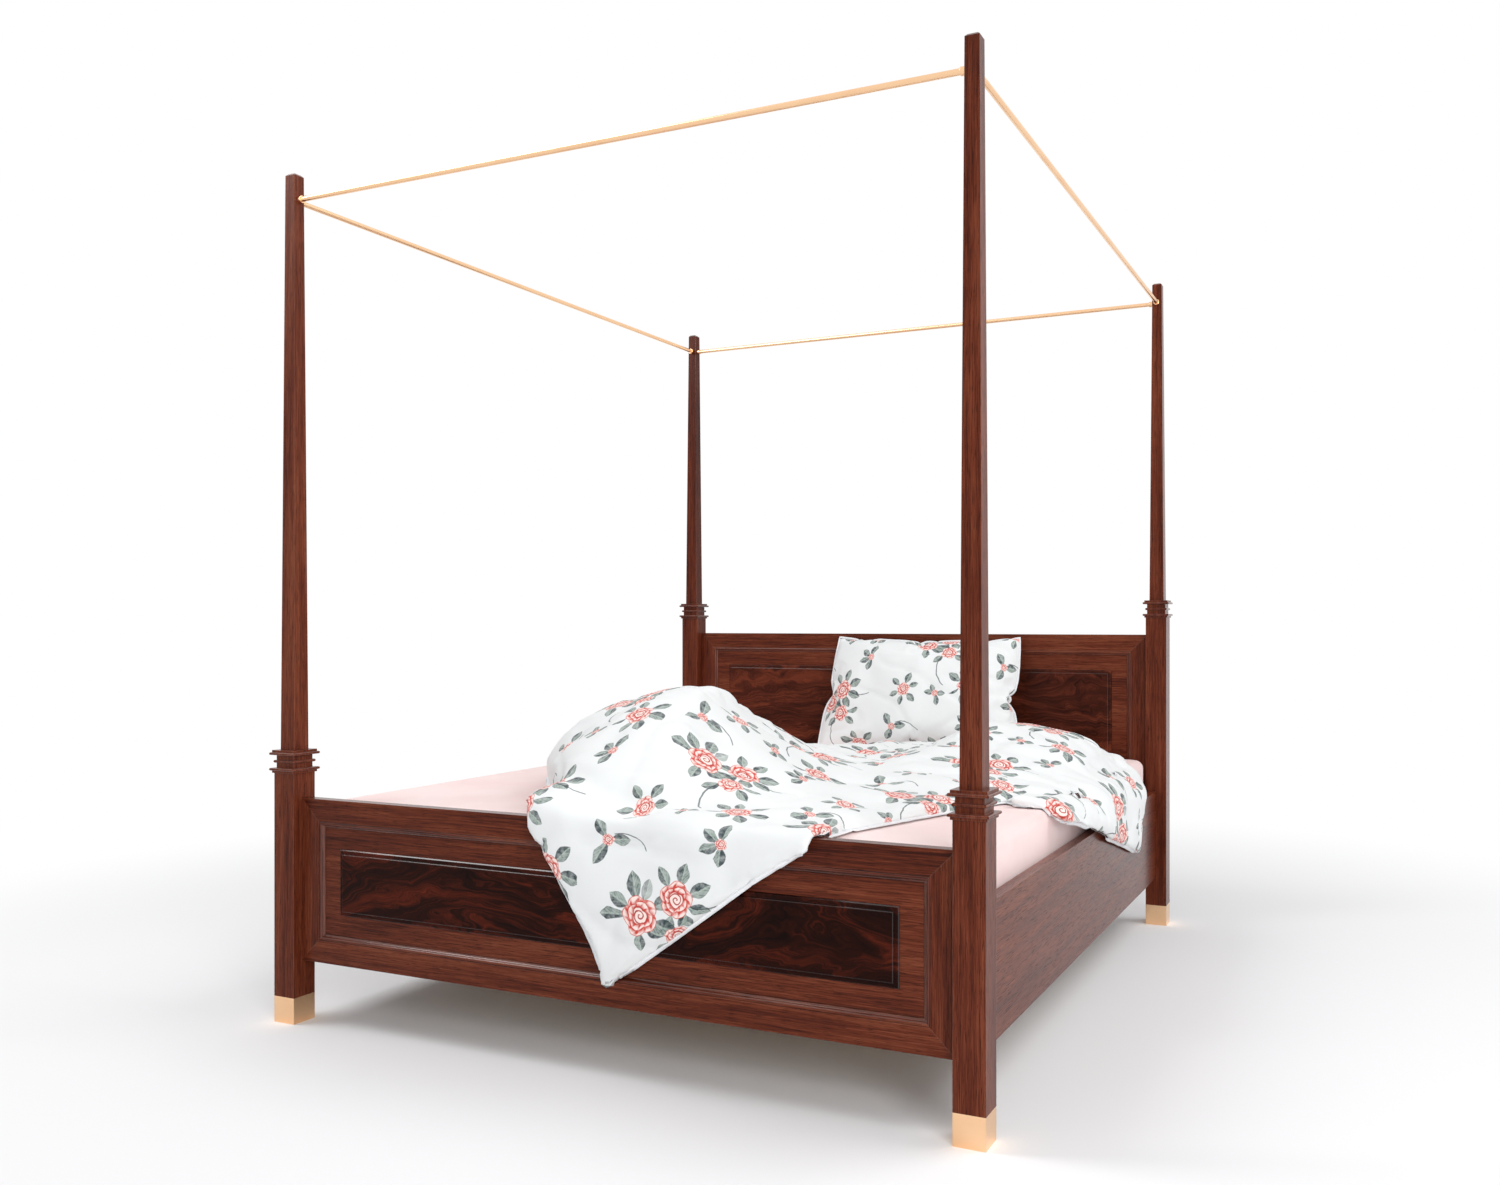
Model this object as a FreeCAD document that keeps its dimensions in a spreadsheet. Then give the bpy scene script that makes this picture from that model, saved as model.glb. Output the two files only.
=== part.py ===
# Four-post canopy bed: mahogany frame, brass rods and foot caps, slatted base, mattress and bedding.
# Millimetres. +X is the right side seen from the foot end, +Y runs to the head, +Z is up.
# The origin lies on the floor, in the middle of the four posts.
import FreeCAD, Part
import math
import os
import re
import Sketcher
from FreeCAD import Placement, Rotation, Vector

# Driving sizes, one spreadsheet cell each.
sizes = {
    # mattress, its sheet and the room round it
    "mattress_w": 1800,
    "mattress_l": 2000,
    "mattress_h": 187,
    "mattress_corner_r": 60,
    "mattress_edge_r": 26,
    "sheet_t": 1.2,
    "sheet_tuck": 90,
    "side_play": 10,
    "end_play": 25,
    "rest_gap": 0.3,
    # posts: leg, collar, tapered shaft
    "post_side": 70,
    "foot_leg_top": 655,
    "head_leg_top": 1068,
    "total_h": 2235,
    "shaft_base": 48,
    "shaft_top": 32,
    "tip_h": 5,
    "tip_in": 5,
    "collar_neck_w": 62,
    "collar_bead_out": 5.5,
    "collar_flange_out": 13,
    "collar_step_out": 8,
    "collar_step_h": 6,
    "collar_flange_h": 7,
    "collar_neck_h": 13.25,
    "collar_bead_h": 7.5,
    "collar_flat": 1,
    "stud_d": 12,
    "stud_grip": 50,
    # brass foot caps and their pins
    "cap_h": 68,
    "cap_wall": 1.5,
    "cap_floor": 2,
    "pin_d": 3,
    "pin_l": 12,
    "pin_z": 48,
    # canopy rods and ferrules
    "rod_d": 14,
    "rod_wall": 1.2,
    "rod_drop": 68,
    "rod_seat": 8,
    "ferrule_d": 19,
    "ferrule_l": 12,
    "ferrule_gap": 0.1,
    # head and foot boards
    "underside_z": 163,
    "footboard_top": 589,
    "headboard_top": 1008,
    "foot_setback": 28,
    "head_setback": 35,
    "board_t": 30,
    "frame_w": 58,
    "quirk_d": 3,
    "bead_d": 3.5,
    "bead_w": 9,
    "bead_ease": 0.5,
    "cove_w": 8,
    "cove_r": 8,
    "mould_d": 9,
    "field_t": 12,
    "groove_d": 9,
    "groove_room": 0.5,
    "field_show": 52,
    "panel_t": 9,
    "panel_base_t": 4,
    "panel_step": 11,
    "panel_flat": 1.5,
    "tongue_in": 10,
    "tongue_t": 10,
    "tongue_d": 14,
    "tongue_room": 0.2,
    "dowel_d": 9,
    "dowel_l": 44,
    "cut_over": 1,
    # screws of panels and ledgers
    "screw_d": 5,
    "screw_head_d": 10,
    "screw_head_h": 3,
    "panel_screw_grip": 5,
    "panel_screw_in": 60,
    "panel_screw_rows": 2,
    "panel_screw_columns": 4,
    "ledger_screw_grip": 18,
    "ledger_screw_in": 80,
    "ledger_screws": 7,
    # side rails, ledgers, hook fittings
    "rail_t": 28,
    "rail_h": 301,
    "rail_setback": 35,
    "ledger_t": 25,
    "ledger_h": 45,
    "ledger_top": 321,
    "ledger_end": 50,
    "plate_t": 3,
    "plate_w": 16,
    "plate_l": 130,
    "plate_lift": 90,
    "plate_margin": 6,
    "hook_t": 4,
    "hook_reach": 11,
    "hook_arm_h": 14,
    "hook_drop": 10,
    "hook_foot": 25,
    "hook_pitch": 66,
    "slot_room": 0.5,
    # centre beam, hangers, support legs
    "beam_w": 45,
    "beam_h": 80,
    "hanger_t": 3,
    "hanger_w": 70,
    "hanger_seat": 40,
    "hanger_cheek_h": 45,
    "hanger_lift": 4,
    "beam_leg_side": 50,
    "beam_leg_gap": 700,
    "glide_d": 45,
    "glide_h": 8,
    "glide_stem_d": 10,
    "glide_stem_l": 30,
    # slatted base
    "base_inset": 2,
    "base_end": 10,
    "bar_w": 28,
    "bar_h": 50,
    "centre_gap": 2,
    "slat_w": 50,
    "slat_t": 8,
    "slat_end": 60,
    "slat_count": 18,
    "holder_wall": 3,
    "holder_floor": 3,
    # pillow standing against the headboard
    "pillow_w": 730,
    "pillow_h": 440,
    "pillow_t": 168,
    "pillow_edge_t": 10,
    "pillow_draw": 22,
    "pillow_x": 90,
    "pillow_tilt": 20,
    "pillow_gap": 2,
    # duvet thrown over the bed
    "duvet_gap": 0.4,
    "duvet_foot_room": 18,
    "duvet_head_room": 235,
    "duvet_left_foot": 120,
    "duvet_left_swell": 485,
    "duvet_right_room": 15,
    "duvet_right_cut": 335,
    "duvet_loft": 50,
    "lump_rise": 245,
    "lump_y": -450,
    "lump_span": 430,
    "roll_rise": 95,
    "roll_y": 430,
    "roll_span": 330,
    "duvet_dip": 40,
    "crest_share": 0.42,
    "dip_share": 0.56,
    "roll_share": 0.7,
    "foot_tuck": 0.28,
    "flap_t": 20,
    "flap_fold": 8,
    "flap_gap": 1.5,
    "flap_lie": 90,
    "flap_rise": 40,
    "foot_flap_left": 160,
    "foot_flap_right": 590,
    "foot_flap_tip_x": 69,
    "foot_flap_tip_z": 220,
    "side_flap_foot": 330,
    "side_flap_head": 690,
    "side_flap_tip_y": 610,
    "side_flap_tip_z": 300,
    "side_flap_shoulder": 45,
    "flap_tip_r": 30,
    "edge_bevel": 0.5,
    "flap_headroom": 300,
    "flap_steps": 6,
}

# Sizes that follow from the driving ones.
derived = {
    "half_w": "mattress_w/2 + side_play + rail_t + rail_setback",
    "half_l": "(mattress_l + 2*end_play + foot_setback + board_t + post_side - head_setback)/2",
    "post_x": "half_w - post_side/2",
    "post_y": "half_l - post_side/2",
    "inner_w": "2*(half_w - post_side)",
    "rail_l": "2*(half_l - post_side)",
    "rail_x": "half_w - rail_setback - rail_t/2",
    "rail_face": "half_w - rail_setback",
    "foot_face": "foot_setback - half_l",
    "head_face": "half_l - post_side + head_setback",
    "mattress_y": "(foot_face + board_t + head_face)/2",
    "stub_side": "post_side - 2*cap_wall",
    "collar_h": "2*(collar_step_h + collar_flange_h + collar_neck_h) + collar_bead_h",
    "collar_bead_w": "collar_neck_w + 2*collar_bead_out",
    "collar_flange_w": "collar_neck_w + 2*collar_flange_out",
    "collar_step_w": "collar_neck_w + 2*collar_step_out",
    "rod_z": "total_h - rod_drop",
    "shaft_slope": "(shaft_base - shaft_top)/2*(rod_drop - tip_h)",
    "foot_rod_half": "shaft_top/2 + shaft_slope/(total_h - tip_h - foot_leg_top - collar_h)",
    "head_rod_half": "shaft_top/2 + shaft_slope/(total_h - tip_h - head_leg_top - collar_h)",
    "mould_w": "bead_w + cove_w",
    "member_w": "frame_w + mould_w",
    "plate_z": "underside_z + plate_lift",
    "base_z": "ledger_top + rest_gap",
    "base_w": "mattress_w - 2*base_inset",
    "base_l": "mattress_l - 2*base_end",
    "slat_z": "base_z + bar_h + holder_floor",
    "mattress_z": "slat_z + slat_t + rest_gap + sheet_t",
    "mattress_top": "mattress_z + mattress_h + sheet_t",
}

doc = FreeCAD.newDocument("canopy_bed")
sheet = doc.addObject("Spreadsheet::Sheet", "sizes")
for row, (name, number) in enumerate(sizes.items(), start=1):
    sheet.set(f"A{row}", name)
    sheet.set(f"B{row}", str(number))
    sheet.setAlias(f"B{row}", name)
doc.recompute()

nodes = []
alongX = Rotation(Vector(0, 1, 0), 90)
alongY = Rotation(Vector(1, 0, 0), -90)
upright = Rotation(Vector(1, 0, 0), 90)


def formula(text):
    # Writes a size expression with every name led back to its spreadsheet cell.
    def cell(match):
        word = match.group(0)
        if word in derived:
            return f"({formula(derived[word])})"
        return f"sizes.{word}" if word in sizes else word
    return re.sub(r"[a-z_]\w*", cell, str(text))


def value(text):
    return float(sheet.evalExpression(formula(text)))


def bind(item, prop, text):
    item.setExpression(prop, formula(text))


def place(item, x, y, z, turn=None):
    if turn:
        item.Placement = Placement(Vector(), turn)
    for axis, text in zip("xyz", (x, y, z)):
        bind(item, f"Placement.Base.{axis}", text)


def keep(item, label):
    # Marks an item as a finished piece of the bed.
    item.Label = label
    nodes.append(item)
    return item


def block(x, y, z, dx, dy, dz):
    # A box centred on x and y that stands on z.
    item = doc.addObject("Part::Box", "block")
    for prop, text in (("Length", dx), ("Width", dy), ("Height", dz)):
        bind(item, prop, text)
    place(item, f"{x} - ({dx})/2", f"{y} - ({dy})/2", z)
    return item


def bar(x, y, z, diameter, length, turn=None):
    item = doc.addObject("Part::Cylinder", "bar")
    bind(item, "Radius", f"({diameter})/2")
    bind(item, "Height", length)
    place(item, x, y, z, turn)
    return item


def tapered(x, y, z, low, high, height):
    # An upright square bar whose side runs from low to high.
    item = doc.addObject("Part::Wedge", "tapered")
    for prop, text in (("Ymin", "0"), ("Ymax", height)):
        bind(item, prop, text)
    for axis in "XZ":
        bind(item, f"{axis}min", f"-({low})/2")
        bind(item, f"{axis}max", f"({low})/2")
        bind(item, f"{axis}2min", f"-({high})/2")
        bind(item, f"{axis}2max", f"({high})/2")
    place(item, x, y, z, upright)
    return item


def fuse(items):
    item = doc.addObject("Part::MultiFuse", "joined")
    item.Shapes = items
    return item


def group(items):
    item = doc.addObject("Part::Compound", "group")
    item.Links = items
    return item


def cut(base, tools):
    item = doc.addObject("Part::Cut", "cut")
    item.Base = base
    item.Tool = tools[0] if len(tools) == 1 else group(tools)
    return item


def new_body():
    return doc.addObject("PartDesign::Body", "body")


def sketch_on(body, role, lift="0"):
    sketch = body.newObject("Sketcher::SketchObject", "sketch")
    plane = [feature for feature in body.Origin.OriginFeatures if feature.Role == role][0]
    sketch.AttachmentSupport = (plane, [""])
    sketch.MapMode = "FlatFace"
    bind(sketch, "AttachmentOffset.Base.z", lift)
    return sketch


def bent_edge(start, end, radius):
    # An arc of that radius; a positive one bulges to the left of the way from start to end.
    chord = end - start
    half = chord.Length/2
    rise = abs(radius) - math.sqrt(radius**2 - half**2)
    left = Vector(-chord.y, chord.x, 0).normalize()
    return Part.Arc(start, (start + end)/2 + left*math.copysign(rise, radius), end)


def outline(sketch, corners):
    # A closed outline. A corner with a third value is reached by an arc of that radius.
    first = sketch.GeometryCount
    spots = [Vector(value(corner[0]), value(corner[1]), 0) for corner in corners]
    ends = []
    for index, corner in enumerate(corners):
        start = spots[index - 1]
        if len(corner) > 2:
            edge = sketch.addGeometry(bent_edge(start, spots[index], value(corner[2])))
            turned = sketch.getPoint(edge, 1).distanceToPoint(start) > 1e-6
            ends.append((2, 1) if turned else (1, 2))
        else:
            sketch.addGeometry(Part.LineSegment(start, spots[index]))
            ends.append((1, 2))
    count = len(corners)
    for index, corner in enumerate(corners):
        edge = first + index
        before = first + (index - 1) % count
        start, end = ends[index]
        sketch.addConstraint(Sketcher.Constraint("Coincident", before, ends[index - 1][1], edge, start))
        for kind, text, spot in zip(("DistanceX", "DistanceY"), corner, spots[index]):
            number = sketch.addConstraint(Sketcher.Constraint(kind, -1, 1, edge, end, spot))
            bind(sketch, f"Constraints[{number}]", text)
        if len(corner) > 2:
            size = abs(value(corner[2]))
            number = sketch.addConstraint(Sketcher.Constraint("Radius", edge, size))
            bind(sketch, f"Constraints[{number}]", corner[2].lstrip("-"))


def rectangle(sketch, x, y, dx, dy):
    # A rectangle centred on x and y.
    low_x, high_x = f"{x} - ({dx})/2", f"{x} + ({dx})/2"
    low_y, high_y = f"{y} - ({dy})/2", f"{y} + ({dy})/2"
    outline(sketch, [(low_x, low_y), (high_x, low_y), (high_x, high_y), (low_x, high_y)])


def ring(sketch, outer, inner):
    for diameter in (outer, inner):
        edge = sketch.addGeometry(Part.Circle(Vector(), Vector(0, 0, 1), value(diameter)/2))
        sketch.addConstraint(Sketcher.Constraint("Coincident", edge, 3, -1, 1))
        number = sketch.addConstraint(Sketcher.Constraint("Diameter", edge, value(diameter)))
        bind(sketch, f"Constraints[{number}]", diameter)


def pad(body, sketch, length, side_type="One side"):
    feature = body.newObject("PartDesign::Pad", "pad")
    feature.Profile = sketch
    feature.SideType = side_type
    bind(feature, "Length", length)
    return feature


def row_along_y(body, feature, sketch, length, count):
    # Repeats a feature along the sketch's upright axis.
    pattern = body.newObject("PartDesign::LinearPattern", "row")
    pattern.Originals = [feature]
    pattern.Direction = (sketch, ["V_Axis"])
    bind(pattern, "Length", length)
    bind(pattern, "Occurrences", count)
    body.Tip = pattern


def near(number, text):
    return abs(abs(number) - value(text)) < 1e-4


def ends_of(edge):
    return [vertex.Point for vertex in edge.Vertexes]


def level_edge(edge):
    return edge.BoundBox.ZLength < 1e-4


def on_square(spot, half):
    # Whether a point stands at a corner of an upright square column.
    return near(spot.x, half) and near(spot.y, half)


def dress(body, kind, prop, size, wanted):
    # Rounds or chamfers the edges of the body that pass the test.
    doc.recompute()
    base = body.Tip
    names = [f"Edge{number}" for number, edge in enumerate(base.Shape.Edges, start=1) if wanted(edge)]
    feature = body.newObject(f"PartDesign::{kind}", kind.lower())
    feature.Base = (base, names)
    bind(feature, prop, size)


def studs():
    # Threaded studs that join leg, collar and shaft, one in each post.
    items = {}
    for corner, side, end, top in posts:
        height = "collar_h + 2*stud_grip"
        items[corner] = bar(f"{side}*post_x", f"{end}*post_y", f"{top} - stud_grip", "stud_d", height)
    return items


def cap_pins():
    # Two pins in each foot cap, in the faces that look into the bed.
    items = {}
    for corner, side, end, top in posts:
        inner_x = f"{side}*(half_w - post_side)"
        inner_y = f"{end}*(half_l - post_side)"
        across = Rotation(Vector(0, 1, 0), 90*side)
        along = Rotation(Vector(1, 0, 0), -90*end)
        items[corner] = [
            bar(inner_x, f"{end}*post_y", "pin_z", "pin_d", "pin_l", across),
            bar(f"{side}*post_x", inner_y, "pin_z", "pin_d", "pin_l", along),
        ]
    return items


def tongue_groove(side, face, top):
    # The groove in a leg that takes the tongue of a board's stile.
    depth = "tongue_d + tongue_room"
    x = f"{side}*(half_w - post_side + ({depth})/2)"
    y = f"{face} + tongue_in + tongue_t/2"
    height = f"{top} - underside_z + 2*tongue_room"
    return block(x, y, "underside_z - tongue_room", depth, "tongue_t + 2*tongue_room", height)


def hook_recess(side, end):
    # The flat seat of a hook plate in a leg and the mortise for the hooks behind it.
    x = f"{side}*rail_x"
    face = "half_l - post_side"
    depth = "hook_reach + slot_room"
    seat = block(x, f"{end}*({face} + plate_t/2)", "plate_z", "plate_w", "plate_t", "plate_l")
    height = "plate_l - 2*plate_margin"
    width = "hook_t + 2*slot_room"
    mortise = block(x, f"{end}*({face} + ({depth})/2)", "plate_z + plate_margin", width, depth, height)
    return [seat, mortise]


def leg(corner, side, end, top):
    face, board_top = ("foot_face", "footboard_top") if end < 0 else ("head_face", "headboard_top")
    body = new_body()
    main = sketch_on(body, "XY_Plane", "cap_h")
    rectangle(main, "0", "0", "post_side", "post_side")
    pad(body, main, f"{top} - cap_h")
    stub = sketch_on(body, "XY_Plane", "cap_floor")
    rectangle(stub, "0", "0", "stub_side", "stub_side")
    pad(body, stub, "cap_h - cap_floor")
    place(body, f"{side}*post_x", f"{end}*post_y", "0")
    tools = [post_studs[corner], tongue_groove(side, face, board_top)]
    tools += hook_recess(side, end) + pins[corner]
    return cut(body, tools)


def foot_cap(corner, side, end):
    x, y = f"{side}*post_x", f"{end}*post_y"
    shell = block(x, y, "0", "post_side", "post_side", "cap_h")
    hollow = block(x, y, "cap_floor", "stub_side", "stub_side", "cap_h - cap_floor")
    return cut(shell, [hollow] + pins[corner])


def collar(corner, side, end, top):
    layers = [
        ("collar_step_w", "collar_step_h"),
        ("collar_flange_w", "collar_flange_h"),
        ("collar_neck_w", "collar_neck_h"),
        ("collar_bead_w", "collar_bead_h"),
        ("collar_neck_w", "collar_neck_h"),
        ("collar_flange_w", "collar_flange_h"),
        ("collar_step_w", "collar_step_h"),
    ]
    body = new_body()
    level = "0"
    for width, height in layers:
        sketch = sketch_on(body, "XY_Plane", level)
        rectangle(sketch, "0", "0", width, width)
        pad(body, sketch, height)
        level = f"{level} + {height}"
    for width, height in (layers[1], layers[3]):
        half = f"{width}/2"
        dress(body, "Fillet", "Radius", f"({height} - collar_flat)/2",
              lambda edge: level_edge(edge) and all(on_square(spot, half) for spot in ends_of(edge)))
    place(body, f"{side}*post_x", f"{end}*post_y", top)
    return cut(body, [post_studs[corner]])


def shaft(corner, side, end, top):
    x, y = f"{side}*post_x", f"{end}*post_y"
    foot = f"{top} + collar_h"
    long = tapered(x, y, foot, "shaft_base", "shaft_top", f"total_h - tip_h - ({foot})")
    tip = tapered(x, y, "total_h - tip_h", "shaft_top", "shaft_top - 2*tip_in", "tip_h")
    return cut(fuse([long, tip]), [post_studs[corner]] + list(rod_bores.values()))


def rod_runs():
    # Start point, length and direction of the four canopy rods.
    across = "2*(post_x - {half} + rod_seat)"
    foot, head = across.format(half="foot_rod_half"), across.format(half="head_rod_half")
    along = "2*post_y - foot_rod_half - head_rod_half + 2*rod_seat"
    start_y = "-(post_y - foot_rod_half + rod_seat)"
    return {
        "foot_rod": (f"-({foot})/2", "-post_y", foot, alongX),
        "head_rod": (f"-({head})/2", "post_y", head, alongX),
        "left_rod": ("-post_x", start_y, along, alongY),
        "right_rod": ("post_x", start_y, along, alongY),
    }


def rod(x, y, length, turn):
    body = new_body()
    sketch = sketch_on(body, "XY_Plane")
    ring(sketch, "rod_d", "rod_d - 2*rod_wall")
    pad(body, sketch, length)
    place(body, x, y, "rod_z", turn)
    return body


def ferrules():
    # Short sleeves on the post faces, one at each rod end.
    items = []
    for corner, side, end, top in posts:
        half = "foot_rod_half" if end < 0 else "head_rod_half"
        start = f"({half} + ferrule_gap)"
        across = Rotation(Vector(0, 1, 0), -90*side)
        along = Rotation(Vector(1, 0, 0), 90*end)
        x, y = f"{side}*post_x", f"{end}*post_y"
        items.append(bar(f"{side}*(post_x - {start})", y, "rod_z", "ferrule_d", "ferrule_l", across))
        items.append(bar(x, f"{end}*(post_y - {start})", "rod_z", "ferrule_d", "ferrule_l", along))
    return cut(group(items), list(rod_bores.values()))


def frame_member(length, stile):
    # A mitred bar of a board's frame: moulded inner edge, groove for the field, tongue on a stile.
    inner = "-member_w"
    corners = [
        ("0", "0"),
        ("0", "-frame_w"),
        ("quirk_d", "-frame_w"),
        ("bead_d", "-(frame_w + bead_w)", "-(bead_w/2 + bead_ease)"),
        ("mould_d", inner, "cove_r"),
        ("mould_d", f"{inner} + groove_d"),
        ("mould_d + field_t", f"{inner} + groove_d"),
        ("mould_d + field_t", inner),
        ("board_t", inner),
        ("board_t", "0"),
    ]
    if stile:
        back = "tongue_in + tongue_t"
        corners += [(back, "0"), (back, "tongue_d"), ("tongue_in", "tongue_d"), ("tongue_in", "0")]
    body = new_body()
    section = sketch_on(body, "YZ_Plane")
    outline(section, corners)
    pad(body, section, length, "Symmetric")
    doc.recompute()
    full = body.Tip.Shape.Volume
    mitres = sketch_on(body, "XZ_Plane")
    low = "-(member_w + cut_over)"
    for sign in ("", "-"):
        far = f"{sign}(({length})/2 + cut_over)"
        near_end = f"{sign}(({length})/2 - member_w - cut_over)"
        outline(mitres, [(far, "cut_over"), (far, low), (near_end, low)])
    pocket = body.newObject("PartDesign::Pocket", "mitre")
    pocket.Profile = mitres
    pocket.Type = "ThroughAll"
    pocket.SideType = "Symmetric"
    doc.recompute()
    if body.Tip.Shape.Volume >= full:
        raise RuntimeError("the mitre cut took nothing away")
    return body


def mitre_dowels(face, top):
    items = []
    for side in (-1, 1):
        for z, lean in ((f"{top} - member_w/2", side), ("underside_z + member_w/2", -side)):
            x = f"{side}*(inner_w/2 - member_w/2)"
            shift = f"dowel_l/2*{math.sqrt(0.5)}"
            turn = Rotation(Vector(0, 1, 0), 45*lean)
            start_x, start_z = f"{x} - {lean}*{shift}", f"{z} - {shift}"
            items.append(bar(start_x, f"{face} + board_t/2", start_z, "dowel_d", "dowel_l", turn))
    return items


def panel_screws(face, middle, width, height):
    items = []
    back = f"{face} + mould_d + field_t"
    turn = Rotation(Vector(1, 0, 0), 90)
    columns = int(value("panel_screw_columns"))
    rows = int(value("panel_screw_rows"))
    for column in range(columns):
        x = f"(({width})/2 - panel_screw_in)*{2*column/(columns - 1) - 1}"
        for row in range(rows):
            z = f"{middle} + (({height})/2 - panel_screw_in)*{2*row/(rows - 1) - 1}"
            shank = bar(x, back, z, "screw_d", "field_t + panel_screw_grip", turn)
            head = bar(x, f"{back} + screw_head_h", z, "screw_head_d", "screw_head_h", turn)
            items.append(fuse([shank, head]))
    return items


def raised_panel(width, height):
    # The figured panel: a chamfered base and a smaller rounded face, built towards the front.
    body = new_body()
    base = sketch_on(body, "XZ_Plane")
    rectangle(base, "0", "0", width, height)
    pad(body, base, "panel_base_t")
    face = sketch_on(body, "XZ_Plane", "panel_base_t")
    rectangle(face, "0", "0", f"{width} - 2*panel_step", f"{height} - 2*panel_step")
    pad(body, face, "panel_t - panel_base_t")
    front = f"({width})/2"
    upper = f"({height})/2"
    dress(body, "Chamfer", "Size", "panel_base_t - panel_flat",
          lambda edge: all(near(spot.y, "panel_base_t") and near(spot.x, front) and near(spot.z, upper)
                           for spot in ends_of(edge)))
    dress(body, "Fillet", "Radius", "panel_t - panel_base_t - panel_flat",
          lambda edge: all(near(spot.y, "panel_t") for spot in ends_of(edge)))
    return body


def board(name, face, top):
    height = f"{top} - underside_z"
    middle = f"({top} + underside_z)/2"
    open_w = "inner_w - 2*member_w"
    open_h = f"{height} - 2*member_w"
    panel_w, panel_h = f"{open_w} - 2*field_show", f"{open_h} - 2*field_show"
    dowels = mitre_dowels(face, top)
    screws = panel_screws(face, middle, panel_w, panel_h)
    members = (
        ("top_rail", "inner_w", "0", top, 0),
        ("bottom_rail", "inner_w", "0", "underside_z", 180),
        ("left_stile", height, "-inner_w/2", middle, -90),
        ("right_stile", height, "inner_w/2", middle, 90),
    )
    for part, length, x, z, angle in members:
        member = frame_member(length, "stile" in part)
        place(member, x, face, z, Rotation(Vector(0, 1, 0), angle))
        keep(cut(member, dowels), f"{name}_{part}")
    grip = "2*(groove_d - groove_room)"
    field_y = f"{face} + mould_d + field_t/2"
    field_h = f"{open_h} + {grip}"
    field = block("0", field_y, f"{middle} - ({field_h})/2", f"{open_w} + {grip}", "field_t", field_h)
    keep(cut(field, screws), f"{name}_field")
    panel = raised_panel(panel_w, panel_h)
    place(panel, "0", f"{face} + mould_d", middle)
    keep(cut(panel, screws), f"{name}_raised_panel")
    keep(group(dowels), f"{name}_mitre_dowels")
    keep(group(screws), f"{name}_panel_screws")


def rail_hook(side, end):
    # A plate let into the rail's end, with two hooks that drop behind the plate in the leg.
    x = f"{side}*rail_x"
    face = "half_l - post_side"
    items = [block(x, f"{end}*({face} - plate_t/2)", "plate_z", "plate_w", "plate_t", "plate_l")]
    for lift in ("hook_foot", "hook_foot + hook_pitch"):
        arm_z = f"plate_z + {lift}"
        lip = "(hook_reach - plate_t - slot_room)"
        items.append(block(x, f"{end}*({face} + hook_reach/2)", arm_z, "hook_t", "hook_reach", "hook_arm_h"))
        lip_y = f"{end}*({face} + hook_reach - {lip}/2)"
        items.append(block(x, lip_y, f"{arm_z} - hook_drop", "hook_t", lip, "hook_drop"))
    return fuse(items)


def post_plate(side, end):
    # The slotted plate in the leg on which a rail's hooks hang.
    x = f"{side}*rail_x"
    y = f"{end}*(half_l - post_side + plate_t/2)"
    plate = block(x, y, "plate_z", "plate_w", "plate_t", "plate_l")
    slots = []
    for lift in ("hook_foot", "hook_foot + hook_pitch"):
        height = "hook_arm_h + hook_drop + slot_room"
        slots.append(block(x, y, f"plate_z + {lift}", "hook_t + 2*slot_room", "plate_t", height))
    return cut(plate, slots)


def ledger_screws(side):
    items = []
    count = int(value("ledger_screws"))
    inner = "half_w - rail_setback - rail_t - ledger_t"
    turn = Rotation(Vector(0, 1, 0), 90*side)
    z = "ledger_top - ledger_h/2"
    for number in range(count):
        y = f"(rail_l/2 - ledger_end - ledger_screw_in)*{2*number/(count - 1) - 1}"
        shank = bar(f"{side}*({inner})", y, z, "screw_d", "ledger_t + ledger_screw_grip", turn)
        head = bar(f"{side}*({inner} - screw_head_h)", y, z, "screw_head_d", "screw_head_h", turn)
        items.append(fuse([shank, head]))
    return items


def side_rails():
    hooks, plates, screws = [], [], []
    for name, side in (("left", -1), ("right", 1)):
        ends = [rail_hook(side, end) for end in (-1, 1)]
        fixings = ledger_screws(side)
        rail = block(f"{side}*rail_x", "0", "underside_z", "rail_t", "rail_l", "rail_h")
        keep(cut(rail, ends + fixings), f"{name}_side_rail")
        ledger_x = f"{side}*(half_w - rail_setback - rail_t - ledger_t/2)"
        length = "rail_l - 2*ledger_end"
        ledger = block(ledger_x, "0", "ledger_top - ledger_h", "ledger_t", length, "ledger_h")
        keep(cut(ledger, fixings), f"{name}_ledger")
        hooks += ends
        plates += [post_plate(side, end) for end in (-1, 1)]
        screws += fixings
    keep(group(hooks), "rail_hooks")
    keep(group(plates), "post_hook_plates")
    keep(group(screws), "ledger_screws")


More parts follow.
